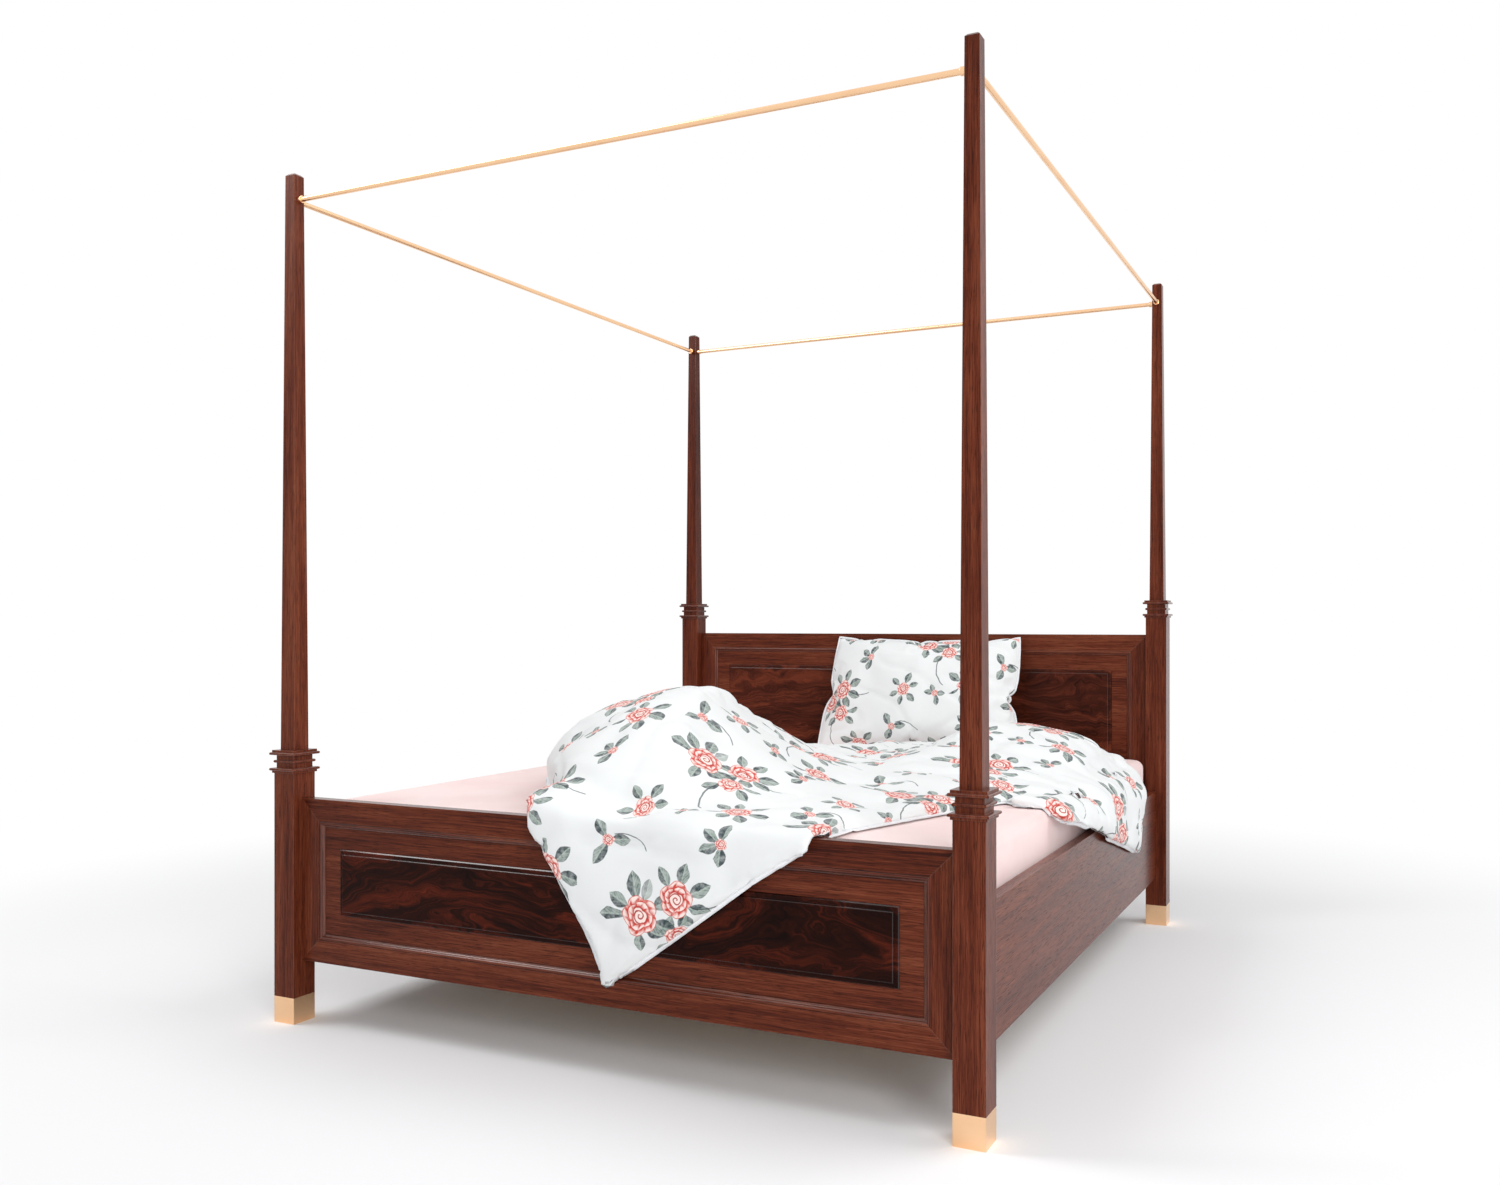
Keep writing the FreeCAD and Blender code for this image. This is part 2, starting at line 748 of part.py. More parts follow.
def centre_support():
    beam_z = "ledger_top - beam_h"
    beam_l = "head_face - foot_face - board_t - 2*hanger_t"
    keep(block("0", "mattress_y", beam_z, "beam_w", beam_l, "beam_h"), "centre_beam")
    hangers = []
    for start, way in (("foot_face + board_t", 1), ("head_face", -1)):
        plate_y = f"{start} + {way}*hanger_t/2"
        seat_y = f"{start} + {way}*(hanger_t + hanger_seat)/2"
        depth = "hanger_t + hanger_seat"
        plate_z = "underside_z + hanger_lift"
        plate_h = f"{beam_z} + hanger_cheek_h - ({plate_z})"
        seat_w = "beam_w + 2*hanger_t"
        items = [block("0", plate_y, plate_z, "hanger_w", "hanger_t", plate_h)]
        items.append(block("0", seat_y, f"{beam_z} - hanger_t", seat_w, depth, "hanger_t"))
        for side in (-1, 1):
            cheek_x = f"{side}*(beam_w + hanger_t)/2"
            items.append(block(cheek_x, seat_y, f"{beam_z} - hanger_t", "hanger_t", depth, "hanger_cheek_h"))
        hangers.append(fuse(items))
    keep(group(hangers), "beam_hangers")
    legs, glides = [], []
    for way in (-1, 1):
        y = f"mattress_y + {way}*beam_leg_gap/2"
        disc = bar("0", y, "0", "glide_d", "glide_h")
        stem = bar("0", y, "0", "glide_stem_d", "glide_h + glide_stem_l")
        glide = fuse([disc, stem])
        leg_h = f"{beam_z} - glide_h"
        support = block("0", y, "glide_h", "beam_leg_side", "beam_leg_side", leg_h)
        legs.append(cut(support, [glide]))
        glides.append(glide)
    keep(group(legs), "beam_legs")
    keep(group(glides), "beam_leg_glides")


def slat_row(side):
    # One row of slats, from the side bar to the centre bar.
    outer = "base_w/2 - holder_wall"
    inner = "centre_gap/2 + holder_wall"
    body = new_body()
    sketch = sketch_on(body, "XY_Plane")
    middle = f"{side}*(({outer} + {inner})/2)"
    rectangle(sketch, middle, "slat_end - base_l/2", f"({outer}) - ({inner})", "slat_w")
    slat = pad(body, sketch, "slat_t")
    row_along_y(body, slat, sketch, "base_l - 2*slat_end", "slat_count")
    place(body, "0", "mattress_y", "slat_z")
    return body


def slat_holders(slats):
    # Cradles for the slat ends on the side bars and the centre bar.
    body = new_body()
    sketch = sketch_on(body, "XY_Plane")
    for side in (-1, 1):
        for x in ("base_w/2 - bar_w/2", "centre_gap/2 + bar_w/2"):
            rectangle(sketch, f"{side}*({x})", "slat_end - base_l/2", "bar_w", "slat_w + 2*holder_wall")
    holder = pad(body, sketch, "holder_floor + slat_t")
    row_along_y(body, holder, sketch, "base_l - 2*slat_end", "slat_count")
    place(body, "0", "mattress_y", "base_z + bar_h")
    return cut(body, slats)


def slatted_base():
    sides = [block(f"{side}*(base_w - bar_w)/2", "mattress_y", "base_z", "bar_w", "base_l", "bar_h")
             for side in (-1, 1)]
    keep(group(sides), "slat_base_side_bars")
    width = "base_w - 2*bar_w"
    ends = [block("0", f"mattress_y + {way}*(base_l - bar_w)/2", "base_z", width, "bar_w", "bar_h")
            for way in (-1, 1)]
    keep(group(ends), "slat_base_end_bars")
    centre = block("0", "mattress_y", "base_z", "centre_gap + 2*bar_w", "base_l - 2*bar_w", "bar_h")
    keep(centre, "slat_base_centre_bar")
    slats = [keep(slat_row(side), f"slats_{name}") for name, side in (("left", -1), ("right", 1))]
    keep(slat_holders(slats), "slat_holders")


def cushion_block(grow):
    # The mattress block with rounded corners and edges, grown on all sides.
    body = new_body()
    half_x, half_y = f"mattress_w/2 + {grow}", f"mattress_l/2 + {grow}"
    radius = f"mattress_corner_r + {grow}"
    in_x, in_y = f"({half_x} - ({radius}))", f"({half_y} - ({radius}))"
    sketch = sketch_on(body, "XY_Plane")
    turn = f"-({radius})"
    outline(sketch, [
        (in_x, f"-({half_y})"),
        (half_x, f"-{in_y}", turn),
        (half_x, in_y),
        (in_x, half_y, turn),
        (f"-{in_x}", half_y),
        (f"-({half_x})", in_y, turn),
        (f"-({half_x})", f"-{in_y}"),
        (f"-{in_x}", f"-({half_y})", turn),
    ])
    height = f"mattress_h + 2*{grow}"
    pad(body, sketch, height)
    top = value(height)
    dress(body, "Fillet", "Radius", f"mattress_edge_r + {grow}",
          lambda edge: level_edge(edge) and not top/4 < edge.BoundBox.ZMin < 3*top/4)
    place(body, "0", "mattress_y", f"mattress_z - {grow}")
    return body


def mattress_and_sheet():
    mattress = keep(cushion_block("0"), "mattress")
    opening = block("0", "mattress_y", "mattress_z - 2*sheet_t", "mattress_w - 2*sheet_tuck",
                    "mattress_l - 2*sheet_tuck", "2*sheet_t")
    keep(cut(cushion_block("sheet_t"), [mattress, opening]), "fitted_sheet")


def wire(spots):
    # A closed wire; a corner given as a pair (through, end) is reached by an arc.
    edges = []
    here = spots[-1][1] if isinstance(spots[-1], tuple) else spots[-1]
    for spot in spots:
        if isinstance(spot, tuple):
            edges.append(Part.Arc(here, spot[0], spot[1]).toShape())
            here = spot[1]
        else:
            edges.append(Part.LineSegment(here, spot).toShape())
            here = spot
    return Part.Wire(edges)


def solid_piece(shape, label):
    item = doc.addObject("Part::Feature", label)
    item.Shape = shape
    return keep(item, label)


def pillow():
    # Sections from side to side: two arcs that meet in the seam, full in the middle and thin at the sides.
    half_w, height, edge = value("pillow_w/2"), value("pillow_h"), value("pillow_edge_t")
    full, draw = value("pillow_t"), value("pillow_draw")
    sections = []
    for share in (-1, -0.86, -0.55, 0, 0.55, 0.86, 1):
        fill = math.sqrt(1 - share**2)
        half_h = height/2 - draw*math.cos(share*math.pi/2)/2
        half_t = edge/2 + (full - edge)/2*fill
        low, high = Vector(share*half_w, 0, -half_h), Vector(share*half_w, 0, half_h)
        front, back = Vector(share*half_w, -half_t, 0), Vector(share*half_w, half_t, 0)
        sections.append(wire([(front, high), (back, low)]))
    shape = Part.makeLoft(sections, True, False)
    lean = Rotation(Vector(1, 0, 0), -value("pillow_tilt"))
    shape.Placement = Placement(Vector(), lean)
    box = shape.optimalBoundingBox()
    x = value("pillow_x")
    y = value("head_face - pillow_gap") - box.YMax
    z = value("mattress_top + duvet_gap") - box.ZMin
    shape.Placement = Placement(Vector(x, y, z), lean)
    solid_piece(shape, "pillow")


def bell(y, name):
    # A smooth hump along the bed: its height at y.
    share = (y - value(f"{name}_y"))/value(f"{name}_span")
    return value(f"{name}_rise")*math.exp(-share**2)


def duvet_body():
    # Sections from foot to head: flat underside, a high lump on the left, a dip, a lower roll on the right.
    floor = value("mattress_top + duvet_gap")
    foot = value("mattress_y - mattress_l/2 + duvet_foot_room")
    head = value("mattress_y + mattress_l/2 - duvet_head_room")
    loft = value("duvet_loft")
    crest, hollow, roll = value("crest_share"), value("dip_share"), value("roll_share")
    sections = []
    for share in (0, 0.1, 0.26, 0.44, 0.62, 0.8, 0.92, 1):
        y = foot + (head - foot)*share
        left = -value("duvet_left_foot") - value("duvet_left_swell")*math.sin(math.pi*share)
        right = value("mattress_w/2 - duvet_right_room") - value("duvet_right_cut")*(1 - share)**2
        tuck = 1 if share else value("foot_tuck")
        high = tuck*(loft + bell(y, "lump"))
        low = tuck*(loft + bell(y, "roll"))
        dip = (high + low)/2 - tuck*value("duvet_dip")*(0.3 + 0.7*math.sin(math.pi*share))

        def spot(part, rise):
            return Vector(left + (right - left)*part, y, floor + rise)

        def flank(edge, top, rise, angle):
            # A point of a round side: angle 0 at the edge, a quarter turn at the top.
            return spot(edge + (top - edge)*(1 - math.cos(angle)), rise*math.sin(angle))
        eighth = math.pi/8
        sections.append(wire([
            spot(0, 0),
            (flank(0, crest, high, eighth), flank(0, crest, high, 2*eighth)),
            (flank(0, crest, high, 3*eighth), spot(crest, high)),
            (spot(hollow, dip), spot(roll, low)),
            (flank(1, roll, low, 3*eighth), flank(1, roll, low, 2*eighth)),
            (flank(1, roll, low, eighth), spot(1, 0)),
        ]))
    return Part.makeLoft(sections, True, False)


def evenly(start, end):
    # The places of a flap's sections.
    steps = int(value("flap_steps"))
    return [start + (end - start)*number/steps for number in range(steps + 1)]


def hanging_flap(inner, stations, shoulder, across):
    # A padded cloth that lies on the mattress, bends over an edge and hangs down with soft folds.
    # inner lists the corners of its underside from the mattress to the hem, as (out, z);
    # shoulder is how far the outer bend slopes down.
    thick, fold = value("flap_t"), value("flap_fold")
    start, hem = inner[0], inner[-1]
    crest = max(z for out, z in inner)
    outer = hem[0] + thick
    sections = []
    for number, station in enumerate(stations):
        swell = fold*math.sin(number*math.pi*0.75)
        skin = outer + swell
        bend = Vector(skin - (thick + shoulder)*0.4, crest + thick*0.7 - shoulder*0.75)
        rest = Vector(skin - 2*thick - shoulder, crest + thick - shoulder*0.15 + swell)
        corners = [Vector(out, z) for out, z in inner]
        corners.append(Vector(skin, hem[1]))
        corners.append(Vector(skin, crest - thick - shoulder))
        corners.append((bend, rest))
        corners.append(Vector(start[0], start[1] + value("flap_rise") + swell))
        turned = []
        for corner in corners:
            if isinstance(corner, tuple):
                turned.append(tuple(across(station, spot.x, spot.y) for spot in corner))
            else:
                turned.append(across(station, corner.x, corner.y))
        sections.append(wire(turned))
    return Part.makeLoft(sections, True, False)


def corner_prism(first, tip, last, high, depth, across):
    # The outline of a cloth corner with a rounded tip, as a prism through its thickness.
    radius = value("flap_tip_r")
    corners = [Vector(first[0], high), Vector(*first), Vector(*tip), Vector(*last), Vector(last[0], high)]
    into, away = (corners[1] - corners[2]).normalize(), (corners[3] - corners[2]).normalize()
    half = into.getAngle(away)/2
    reach = radius/math.tan(half)
    middle = corners[2] + (into + away).normalize()*(radius/math.sin(half) - radius)
    rounded = [corners[0], corners[1], corners[2] + into*reach, (middle, corners[2] + away*reach),
               corners[3], corners[4]]
    turned = []
    for corner in rounded:
        if isinstance(corner, tuple):
            turned.append(tuple(across(spot.x, depth[0], spot.y) for spot in corner))
        else:
            turned.append(across(corner.x, depth[0], corner.y))
    way = across(0, depth[1], 0) - across(0, depth[0], 0)
    return Part.Face(wire(turned)).extrude(way)


def foot_flap():
    # The corner that hangs over the footboard; out runs towards the foot.
    floor = value("mattress_top + duvet_gap")
    lie = value("half_l - foot_setback - board_t - end_play - duvet_foot_room")
    gap = value("flap_gap")
    crest = value("footboard_top") + gap
    face = value("half_l - foot_setback") + gap
    tip = value("foot_flap_tip_z")
    inner = [
        (lie - value("flap_lie"), floor),
        (lie, floor),
        (value("half_l - foot_setback - board_t") - gap, crest),
        (face, crest),
        (face, tip),
    ]
    left, right = -value("foot_flap_left"), value("foot_flap_right")
    stations = evenly(left, right)

    def across(station, out, z):
        return Vector(station, -out, z)
    flap = hanging_flap(inner, stations, 0, across)
    knee = crest - value("flap_t")
    outline_prism = corner_prism((left, knee), (value("foot_flap_tip_x"), tip), (right, knee),
                                 crest + value("flap_headroom"), (0, value("half_l + post_side")), across)
    return flap.common(outline_prism)


def side_flap():
    # The corner that hangs over the right rail; out runs to the right.
    floor = value("mattress_top + duvet_gap")
    edge = value("mattress_w/2 + sheet_t")
    gap = value("flap_gap")
    face = value("rail_face") + gap
    drop = value("mattress_edge_r")
    tip = value("side_flap_tip_z")
    bevel = drop*value("edge_bevel")
    inner = [
        (edge - drop - value("flap_lie"), floor),
        (edge - bevel, floor),
        (edge + gap, floor - bevel),
        (face, floor - 2*drop),
        (face, tip),
    ]
    foot, head = -value("side_flap_foot"), value("side_flap_head")
    stations = evenly(foot, head)

    def across(station, out, z):
        return Vector(out, station, z)
    flap = hanging_flap(inner, stations, value("side_flap_shoulder"), across)
    knee = floor - drop
    outline_prism = corner_prism((foot, knee), (value("side_flap_tip_y"), tip), (head, knee),
                                 floor + value("flap_headroom"), (0, value("half_w + post_side")), across)
    return flap.common(outline_prism)


def duvet():
    shape = duvet_body().fuse([foot_flap(), side_flap()]).removeSplitter()
    solid_piece(shape.Solids[0] if len(shape.Solids) == 1 else shape, "duvet")


# The four posts: name, side, end and the height where the leg stops.
posts = [
    ("foot_left", -1, -1, "foot_leg_top"),
    ("foot_right", 1, -1, "foot_leg_top"),
    ("head_left", -1, 1, "head_leg_top"),
    ("head_right", 1, 1, "head_leg_top"),
]

post_studs = studs()
pins = cap_pins()
runs = rod_runs()
rod_bores = {}
for label, (x, y, length, turn) in runs.items():
    rod_bores[label] = bar(x, y, "rod_z", "rod_d", length, turn)
for corner, side, end, top in posts:
    keep(leg(corner, side, end, top), f"{corner}_leg")
    keep(foot_cap(corner, side, end), f"{corner}_foot_cap")
    keep(collar(corner, side, end, top), f"{corner}_collar")
    keep(shaft(corner, side, end, top), f"{corner}_shaft")
keep(group(list(post_studs.values())), "post_studs")
keep(group(pins["foot_left"] + pins["foot_right"] + pins["head_left"] + pins["head_right"]), "foot_cap_pins")
for label, (x, y, length, turn) in runs.items():
    keep(rod(x, y, length, turn), label)
keep(ferrules(), "rod_ferrules")
board("footboard", "foot_face", "footboard_top")
board("headboard", "head_face", "headboard_top")
side_rails()
centre_support()
slatted_base()
mattress_and_sheet()
pillow()
duvet()

doc.recompute()
for item in doc.Objects:
    if "Invalid" in item.State or "Error" in item.State:
        raise RuntimeError(f"{item.Label} failed: {item.State}")
for node in nodes:
    if node.Shape.isNull() or not node.Shape.isValid():
        raise RuntimeError(f"{node.Label} has no valid shape")

os.makedirs("parts", exist_ok=True)
for node in nodes:
    node.Shape.exportStep(f"parts/{node.Label}.step")
    print(f"{node.Label}: {len(node.Shape.Solids)} solids, {node.Shape.Volume/1000:.1f} cm3")
print(f"{len(nodes)} pieces")
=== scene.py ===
import math
import time

import bmesh
import bpy
import numpy as np
from mathutils import Matrix, Vector, noise


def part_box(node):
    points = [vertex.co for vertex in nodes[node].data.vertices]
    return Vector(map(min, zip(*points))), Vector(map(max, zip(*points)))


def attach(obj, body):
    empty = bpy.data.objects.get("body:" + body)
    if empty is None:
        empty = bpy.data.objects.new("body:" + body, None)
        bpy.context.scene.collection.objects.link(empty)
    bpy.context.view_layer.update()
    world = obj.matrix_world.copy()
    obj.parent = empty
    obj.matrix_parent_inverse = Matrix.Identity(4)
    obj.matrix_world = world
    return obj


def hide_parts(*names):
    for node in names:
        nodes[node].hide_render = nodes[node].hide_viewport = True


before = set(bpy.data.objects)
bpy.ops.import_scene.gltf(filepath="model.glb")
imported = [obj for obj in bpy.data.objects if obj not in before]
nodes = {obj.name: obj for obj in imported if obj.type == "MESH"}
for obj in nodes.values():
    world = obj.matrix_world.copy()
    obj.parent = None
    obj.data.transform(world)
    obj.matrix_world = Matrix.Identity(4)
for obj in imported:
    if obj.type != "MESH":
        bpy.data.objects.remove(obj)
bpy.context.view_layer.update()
scene = bpy.context.scene
print("frame loaded,", len(nodes), "nodes")


class Wire:
    # a socket of a node tree; sums and products of wires add Math nodes
    def __init__(self, tree, socket=None):
        self.tree = tree
        self.socket = socket

    def node(self, kind, settings, sockets, output=0):
        made = self.tree.nodes.new("ShaderNode" + kind)
        for name, value in settings.items():
            if name == "stops":
                self.setStops(made.color_ramp.elements, value)
            else:
                setattr(made, name, value)
        for key, value in sockets.items():
            if isinstance(value, Wire):
                self.tree.links.new(value.socket, made.inputs[key])
            else:
                made.inputs[key].default_value = value
        return Wire(self.tree, made.outputs[output]) if made.outputs else None

    def setStops(self, elements, stops):
        ends = [elements[0], elements[-1]]
        for element, (place, colour) in zip(ends, (stops[0], stops[-1])):
            element.position = place
            element.color = colour
        for place, colour in stops[1:-1]:
            elements.new(place).color = colour

    def other(self, output):
        return Wire(self.tree, self.socket.node.outputs[output])

    def math(self, operation, *values):
        return self.node("Math", {"operation": operation}, dict(enumerate(values)))

    def __add__(self, value):
        return self.math("ADD", self, value)

    def __sub__(self, value):
        return self.math("SUBTRACT", self, value)

    def __rsub__(self, value):
        return self.math("SUBTRACT", value, self)

    def __mul__(self, value):
        return self.math("MULTIPLY", self, value)

    def __truediv__(self, value):
        return self.math("DIVIDE", self, value)

    def __abs__(self):
        return self.math("ABSOLUTE", self)

    __radd__ = __add__
    __rmul__ = __mul__

    def step(self, low, high):
        # soft step from 0 at low to 1 at high
        sockets = {"Value": self, "From Min": low, "From Max": high}
        return self.node("MapRange", {"interpolation_type": "SMOOTHSTEP"}, sockets)

    def blend(self, factor, first, second):
        return self.node("Mix", {"data_type": "RGBA"}, {0: factor, 6: first, 7: second}, 2)

    def here(self):
        return self.node("TexCoord", {}, {}, "Object")

    def noise(self, place, scale, detail=3.0, rough=0.5, bend=0.0, shift=(0, 0, 0)):
        spot = self.node("Mapping", {}, {"Vector": place, "Scale": scale, "Location": shift})
        sockets = {"Vector": spot, "Scale": 1.0, "Detail": detail, "Roughness": rough, "Distortion": bend}
        return self.node("TexNoise", {}, sockets)

    def ramp(self, stops):
        return self.node("ValToRGB", {"stops": stops}, {"Fac": self})

    def split(self):
        made = self.node("SeparateXYZ", {}, {"Vector": self})
        return [made.other(axis) for axis in "XYZ"]

    def bump(self, strength, distance, height, normal=None):
        sockets = {"Strength": strength, "Distance": distance, "Height": height}
        if normal:
            sockets["Normal"] = normal
        return self.node("Bump", {}, sockets)


def linear(red, green, blue):
    # screen colour 0-255 to the shader's own scale, with full alpha
    levels = [level/255 for level in (red, green, blue)]
    return (*(c/12.92 if c < 0.04045 else ((c + 0.055)/1.055)**2.4 for c in levels), 1)


def newFinish(name):
    material = bpy.data.materials.new(name)
    material.use_nodes = True
    shader = material.node_tree.nodes["Principled BSDF"]
    return material, Wire(material.node_tree), shader


def feed(shader, **values):
    # values and links of the Principled shader; an underscore stands for a blank
    for name, value in values.items():
        socket = shader.inputs[name.replace("_", " ")]
        if isinstance(value, Wire):
            value.tree.links.new(value.socket, socket)
        else:
            socket.default_value = value


def easedEdge(pen, radius):
    # normals that are rounded along sharp edges
    return pen.node("Bevel", {"samples": 6}, {"Radius": radius})


def edgeMask(pen, eased):
    # 1 along the sharp edges, where the eased normal leaves the plain one
    plain = pen.node("NewGeometry", {}, {}, "Normal")
    facing = pen.node("VectorMath", {"operation": "DOT_PRODUCT"}, {0: eased, 1: plain}, "Value")
    return (1 - facing).step(0.004, 0.12)


def moulded(pen, eased):
    # 1 on beads, coves and rounded edges, 0 on the flat faces, which lie square or nearly so
    x, y, z = [abs(axis) for axis in eased.split()]
    return (1 - pen.math("MAXIMUM", x, pen.math("MAXIMUM", y, z))).step(0.01, 0.09)


def polish(pen, eased, look):
    # the polish shows on mouldings, and where the surface is seen nearly edge on
    glancing = pen.node("LayerWeight", {}, {"Blend": 0.5}, "Facing").step(0.6, 0.97)
    return pen.math("MAXIMUM", glancing*look["glancing"], moulded(pen, eased)*look["coat"])


mahoganyLook = {
    "dark": linear(54, 19, 11), "mid": linear(97, 43, 26), "light": linear(129, 69, 46),
    "pore": linear(26, 8, 4), "worn": linear(164, 98, 70), "shift": (0, 0, 0),
    "roughness": 0.26, "coat": 0.9, "glancing": 0.5, "gloss": 0.1, "edge": 0.0018, "vein": 0.6,
}

paleWoodLook = {
    "dark": linear(176, 142, 100), "mid": linear(206, 175, 132), "light": linear(228, 203, 165),
    "pore": linear(140, 106, 70), "worn": linear(232, 210, 175), "shift": (4, 2, 9),
    "roughness": 0.5, "coat": 0.0, "glancing": 0.0, "gloss": 0.35, "edge": 0.0012, "vein": 0.35,
}

grainLook = {              # scale along the grain, then twice across it
    "figure": (0.9, 13, 13), "ribbon": (3, 120, 120), "thread": (11, 400, 400),
    "pores": (30, 620, 620), "rub": (14, 14, 14),
}


def woodFinish(name, look, along):
    # straight-grained wood; along is the axis of the grain: 0 x, 1 y, 2 z
    material, pen, shader = newFinish(name)
    axes = pen.here().split()
    run = axes.pop(along)
    place = pen.node("CombineXYZ", {}, {"X": run, "Y": axes[0], "Z": axes[1]})
    shift = look["shift"]
    figure = pen.noise(place, grainLook["figure"], 4, 0.55, 0.7, shift)
    ribbon = pen.noise(place, grainLook["ribbon"], 5, 0.6, 0.35, shift)
    thread = pen.noise(place, grainLook["thread"], 3, 0.6, 0.15, shift)
    pores = pen.noise(place, grainLook["pores"], 2, 0.5, 0, shift).step(0.56, 0.66)
    tone = figure*0.36 + ribbon*0.28 + thread*0.36
    colour = tone.ramp([(0.38, look["dark"]), (0.5, look["mid"]), (0.64, look["light"])])
    colour = pen.blend(pores*look["vein"], colour, look["pore"])
    eased = easedEdge(pen, look["edge"])
    edge = edgeMask(pen, eased)
    rub = pen.noise(place, grainLook["rub"], 3, 0.6, 0, shift).step(0.42, 0.7)
    colour = pen.blend(edge*rub*0.45, colour, look["worn"])
    bumped = pen.bump(0.06, 0.0004, thread*0.3 - pores*0.7, eased)
    rough = look["roughness"] + ribbon*0.12 + pores*0.12 - edge*0.06
    feed(shader, Base_Color=colour, Roughness=rough, Normal=bumped, Coat_Weight=polish(pen, eased, look),
         Coat_Roughness=0.14, Specular_IOR_Level=look["gloss"])
    return material


figureLook = {
    # one veneer in two lightnesses: the footboard's darker colours are painted shade, the headboard's
    # lighter colours are painted light and haze
    "footboard": {"black": linear(16, 4, 2), "dark": linear(38, 11, 5), "mid": linear(86, 31, 16),
                  "light": linear(126, 55, 31), "sway": 1.9, "shift": (5, 2, 0)},
    "headboard": {"black": linear(36, 13, 8), "dark": linear(70, 30, 19), "mid": linear(112, 53, 35),
                  "light": linear(150, 80, 57), "sway": 1.2, "shift": (9, 6, 3)},
    "span": (1.55, 0.6),   # width and height that the flames are laid out on
    "roughness": 0.2, "coat": 0.9, "glancing": 0.6, "gloss": 0.06, "edge": 0.0014,
}


def figuredFinish(name, look):
    # crotch veneer: dark flames that swirl out from the middle of the panel; each board has its own copy of
    # the colours, darker on the footboard as painted shade and lighter on the headboard as painted light and
    # haze
    material, pen, shader = newFinish("figured-" + name)
    # the board's own copy of the colours: painted shade on the footboard, painted light and haze on the
    # headboard
    tint = look[name]
    low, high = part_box(name + "_raised_panel")
    middle = (low.z + high.z)/2
    place = pen.here()
    axes = place.split()
    across = axes[0]/look["span"][0]
    up = (axes[2] - middle)/look["span"][1]
    bow = abs(across)*abs(across)*0.9
    sway = pen.noise(place, (1.6, 1.6, 3.4), 3, 0.5, 0.4) - 0.5
    lean = pen.noise(place, (4.5, 4.5, 8), 3, 0.55, 0.6, (3, 0, 7)) - 0.5
    fan = up*2.3 + bow + sway*tint["sway"] + lean*0.5
    run = across*1.8 + sway*1.2
    path = pen.node("CombineXYZ", {}, {"X": run, "Y": fan, "Z": lean*0.6})
    flame = pen.noise(path, (1.2, 3.6, 2), 5, 0.6, 0.4)
    line = pen.noise(path, (3.5, 34, 8), 4, 0.6, 0.4, tint["shift"])
    pores = pen.noise(path, (40, 240, 60), 2, 0.5).step(0.57, 0.7)
    tone = flame*0.66 + line*0.34
    colour = tone.ramp([(0.36, tint["black"]), (0.48, tint["dark"]),
                        (0.62, tint["mid"]), (0.78, tint["light"])])
    colour = pen.blend(pores*0.4, colour, tint["black"])
    eased = easedEdge(pen, look["edge"])
    bumped = pen.bump(0.08, 0.0005, line*0.3 - pores*0.5, eased)
    feed(shader, Base_Color=colour, Roughness=look["roughness"] + line*0.1, Normal=bumped,
         Coat_Weight=polish(pen, eased, look), Coat_Roughness=0.15, Specular_IOR_Level=look["gloss"])
    return material


brassLook = {
    "bright": (0.95, 0.62, 0.37, 1), "deep": (0.9, 0.55, 0.31, 1), "roughness": 0.15, "edge": 0.0012,
    "marks": (18, 420),    # scale of the rubbing marks along the piece and across it
}


def brassFinish(name, look, along):
    # polished brass with faint rubbing marks and cloudy handling
    material, pen, shader = newFinish(name)
    place = pen.here()
    length, cross = look["marks"]
    stretch = [length if axis == along else cross for axis in range(3)]
    marks = pen.noise(place, stretch, 3, 0.6)
    cloud = pen.noise(place, (9, 9, 9), 4, 0.55, 0.5)
    eased = easedEdge(pen, look["edge"])
    edge = edgeMask(pen, eased)
    colour = pen.blend(cloud.step(0.35, 0.75)*0.6, look["bright"], look["deep"])
    bumped = pen.bump(0.04, 0.0003, marks, eased)
    rough = look["roughness"] + cloud*0.12 + marks*0.05 - edge*0.05
    feed(shader, Base_Color=colour, Metallic=1.0, Roughness=rough, Normal=bumped)
    return material


steelLook = {"bright": (0.62, 0.62, 0.63, 1), "dull": (0.45, 0.45, 0.46, 1), "roughness": 0.33}


def steelFinish(name, look):
    # zinc-plated fittings: spangled patches of slightly different grey
    material, pen, shader = newFinish(name)
    place = pen.here()
    spangle = pen.node("TexVoronoi", {}, {"Vector": place, "Scale": 160.0}, "Color").split()[0]
    grain = pen.noise(place, (600, 600, 600), 2)
    colour = pen.blend(spangle, look["bright"], look["dull"])
    bumped = pen.bump(0.06, 0.0003, grain)
    feed(shader, Base_Color=colour, Metallic=1.0, Roughness=look["roughness"] + spangle*0.12, Normal=bumped)
    return material


plasticLook = {"colour": linear(38, 38, 40), "pale": linear(58, 58, 60), "roughness": 0.48}


def plasticFinish(name, look):
    # moulded dark plastic with a fine spark-eroded grain
    material, pen, shader = newFinish(name)
    place = pen.here()
    grain = pen.noise(place, (900, 900, 900), 2, 0.6)
    cloud = pen.noise(place, (30, 30, 30), 2)
    colour = pen.blend(cloud.step(0.35, 0.8)*0.6, look["colour"], look["pale"])
    bumped = pen.bump(0.2, 0.0003, grain)
    feed(shader, Base_Color=colour, Roughness=look["roughness"] + grain*0.12, Normal=bumped)
    return material


mahogany = [woodFinish("mahogany-" + axis, mahoganyLook, number) for number, axis in enumerate("xyz")]
paleWood = [woodFinish("palewood-" + axis, paleWoodLook, number) for number, axis in enumerate("xyz")]
brass = [brassFinish("brass-" + axis, brassLook, number) for number, axis in enumerate("xyz")]
figured = {name: figuredFinish(name, figureLook) for name in ("footboard", "headboard")}
steel = steelFinish("zinc-steel", steelLook)
plastic = plasticFinish("dark-plastic", plasticLook)


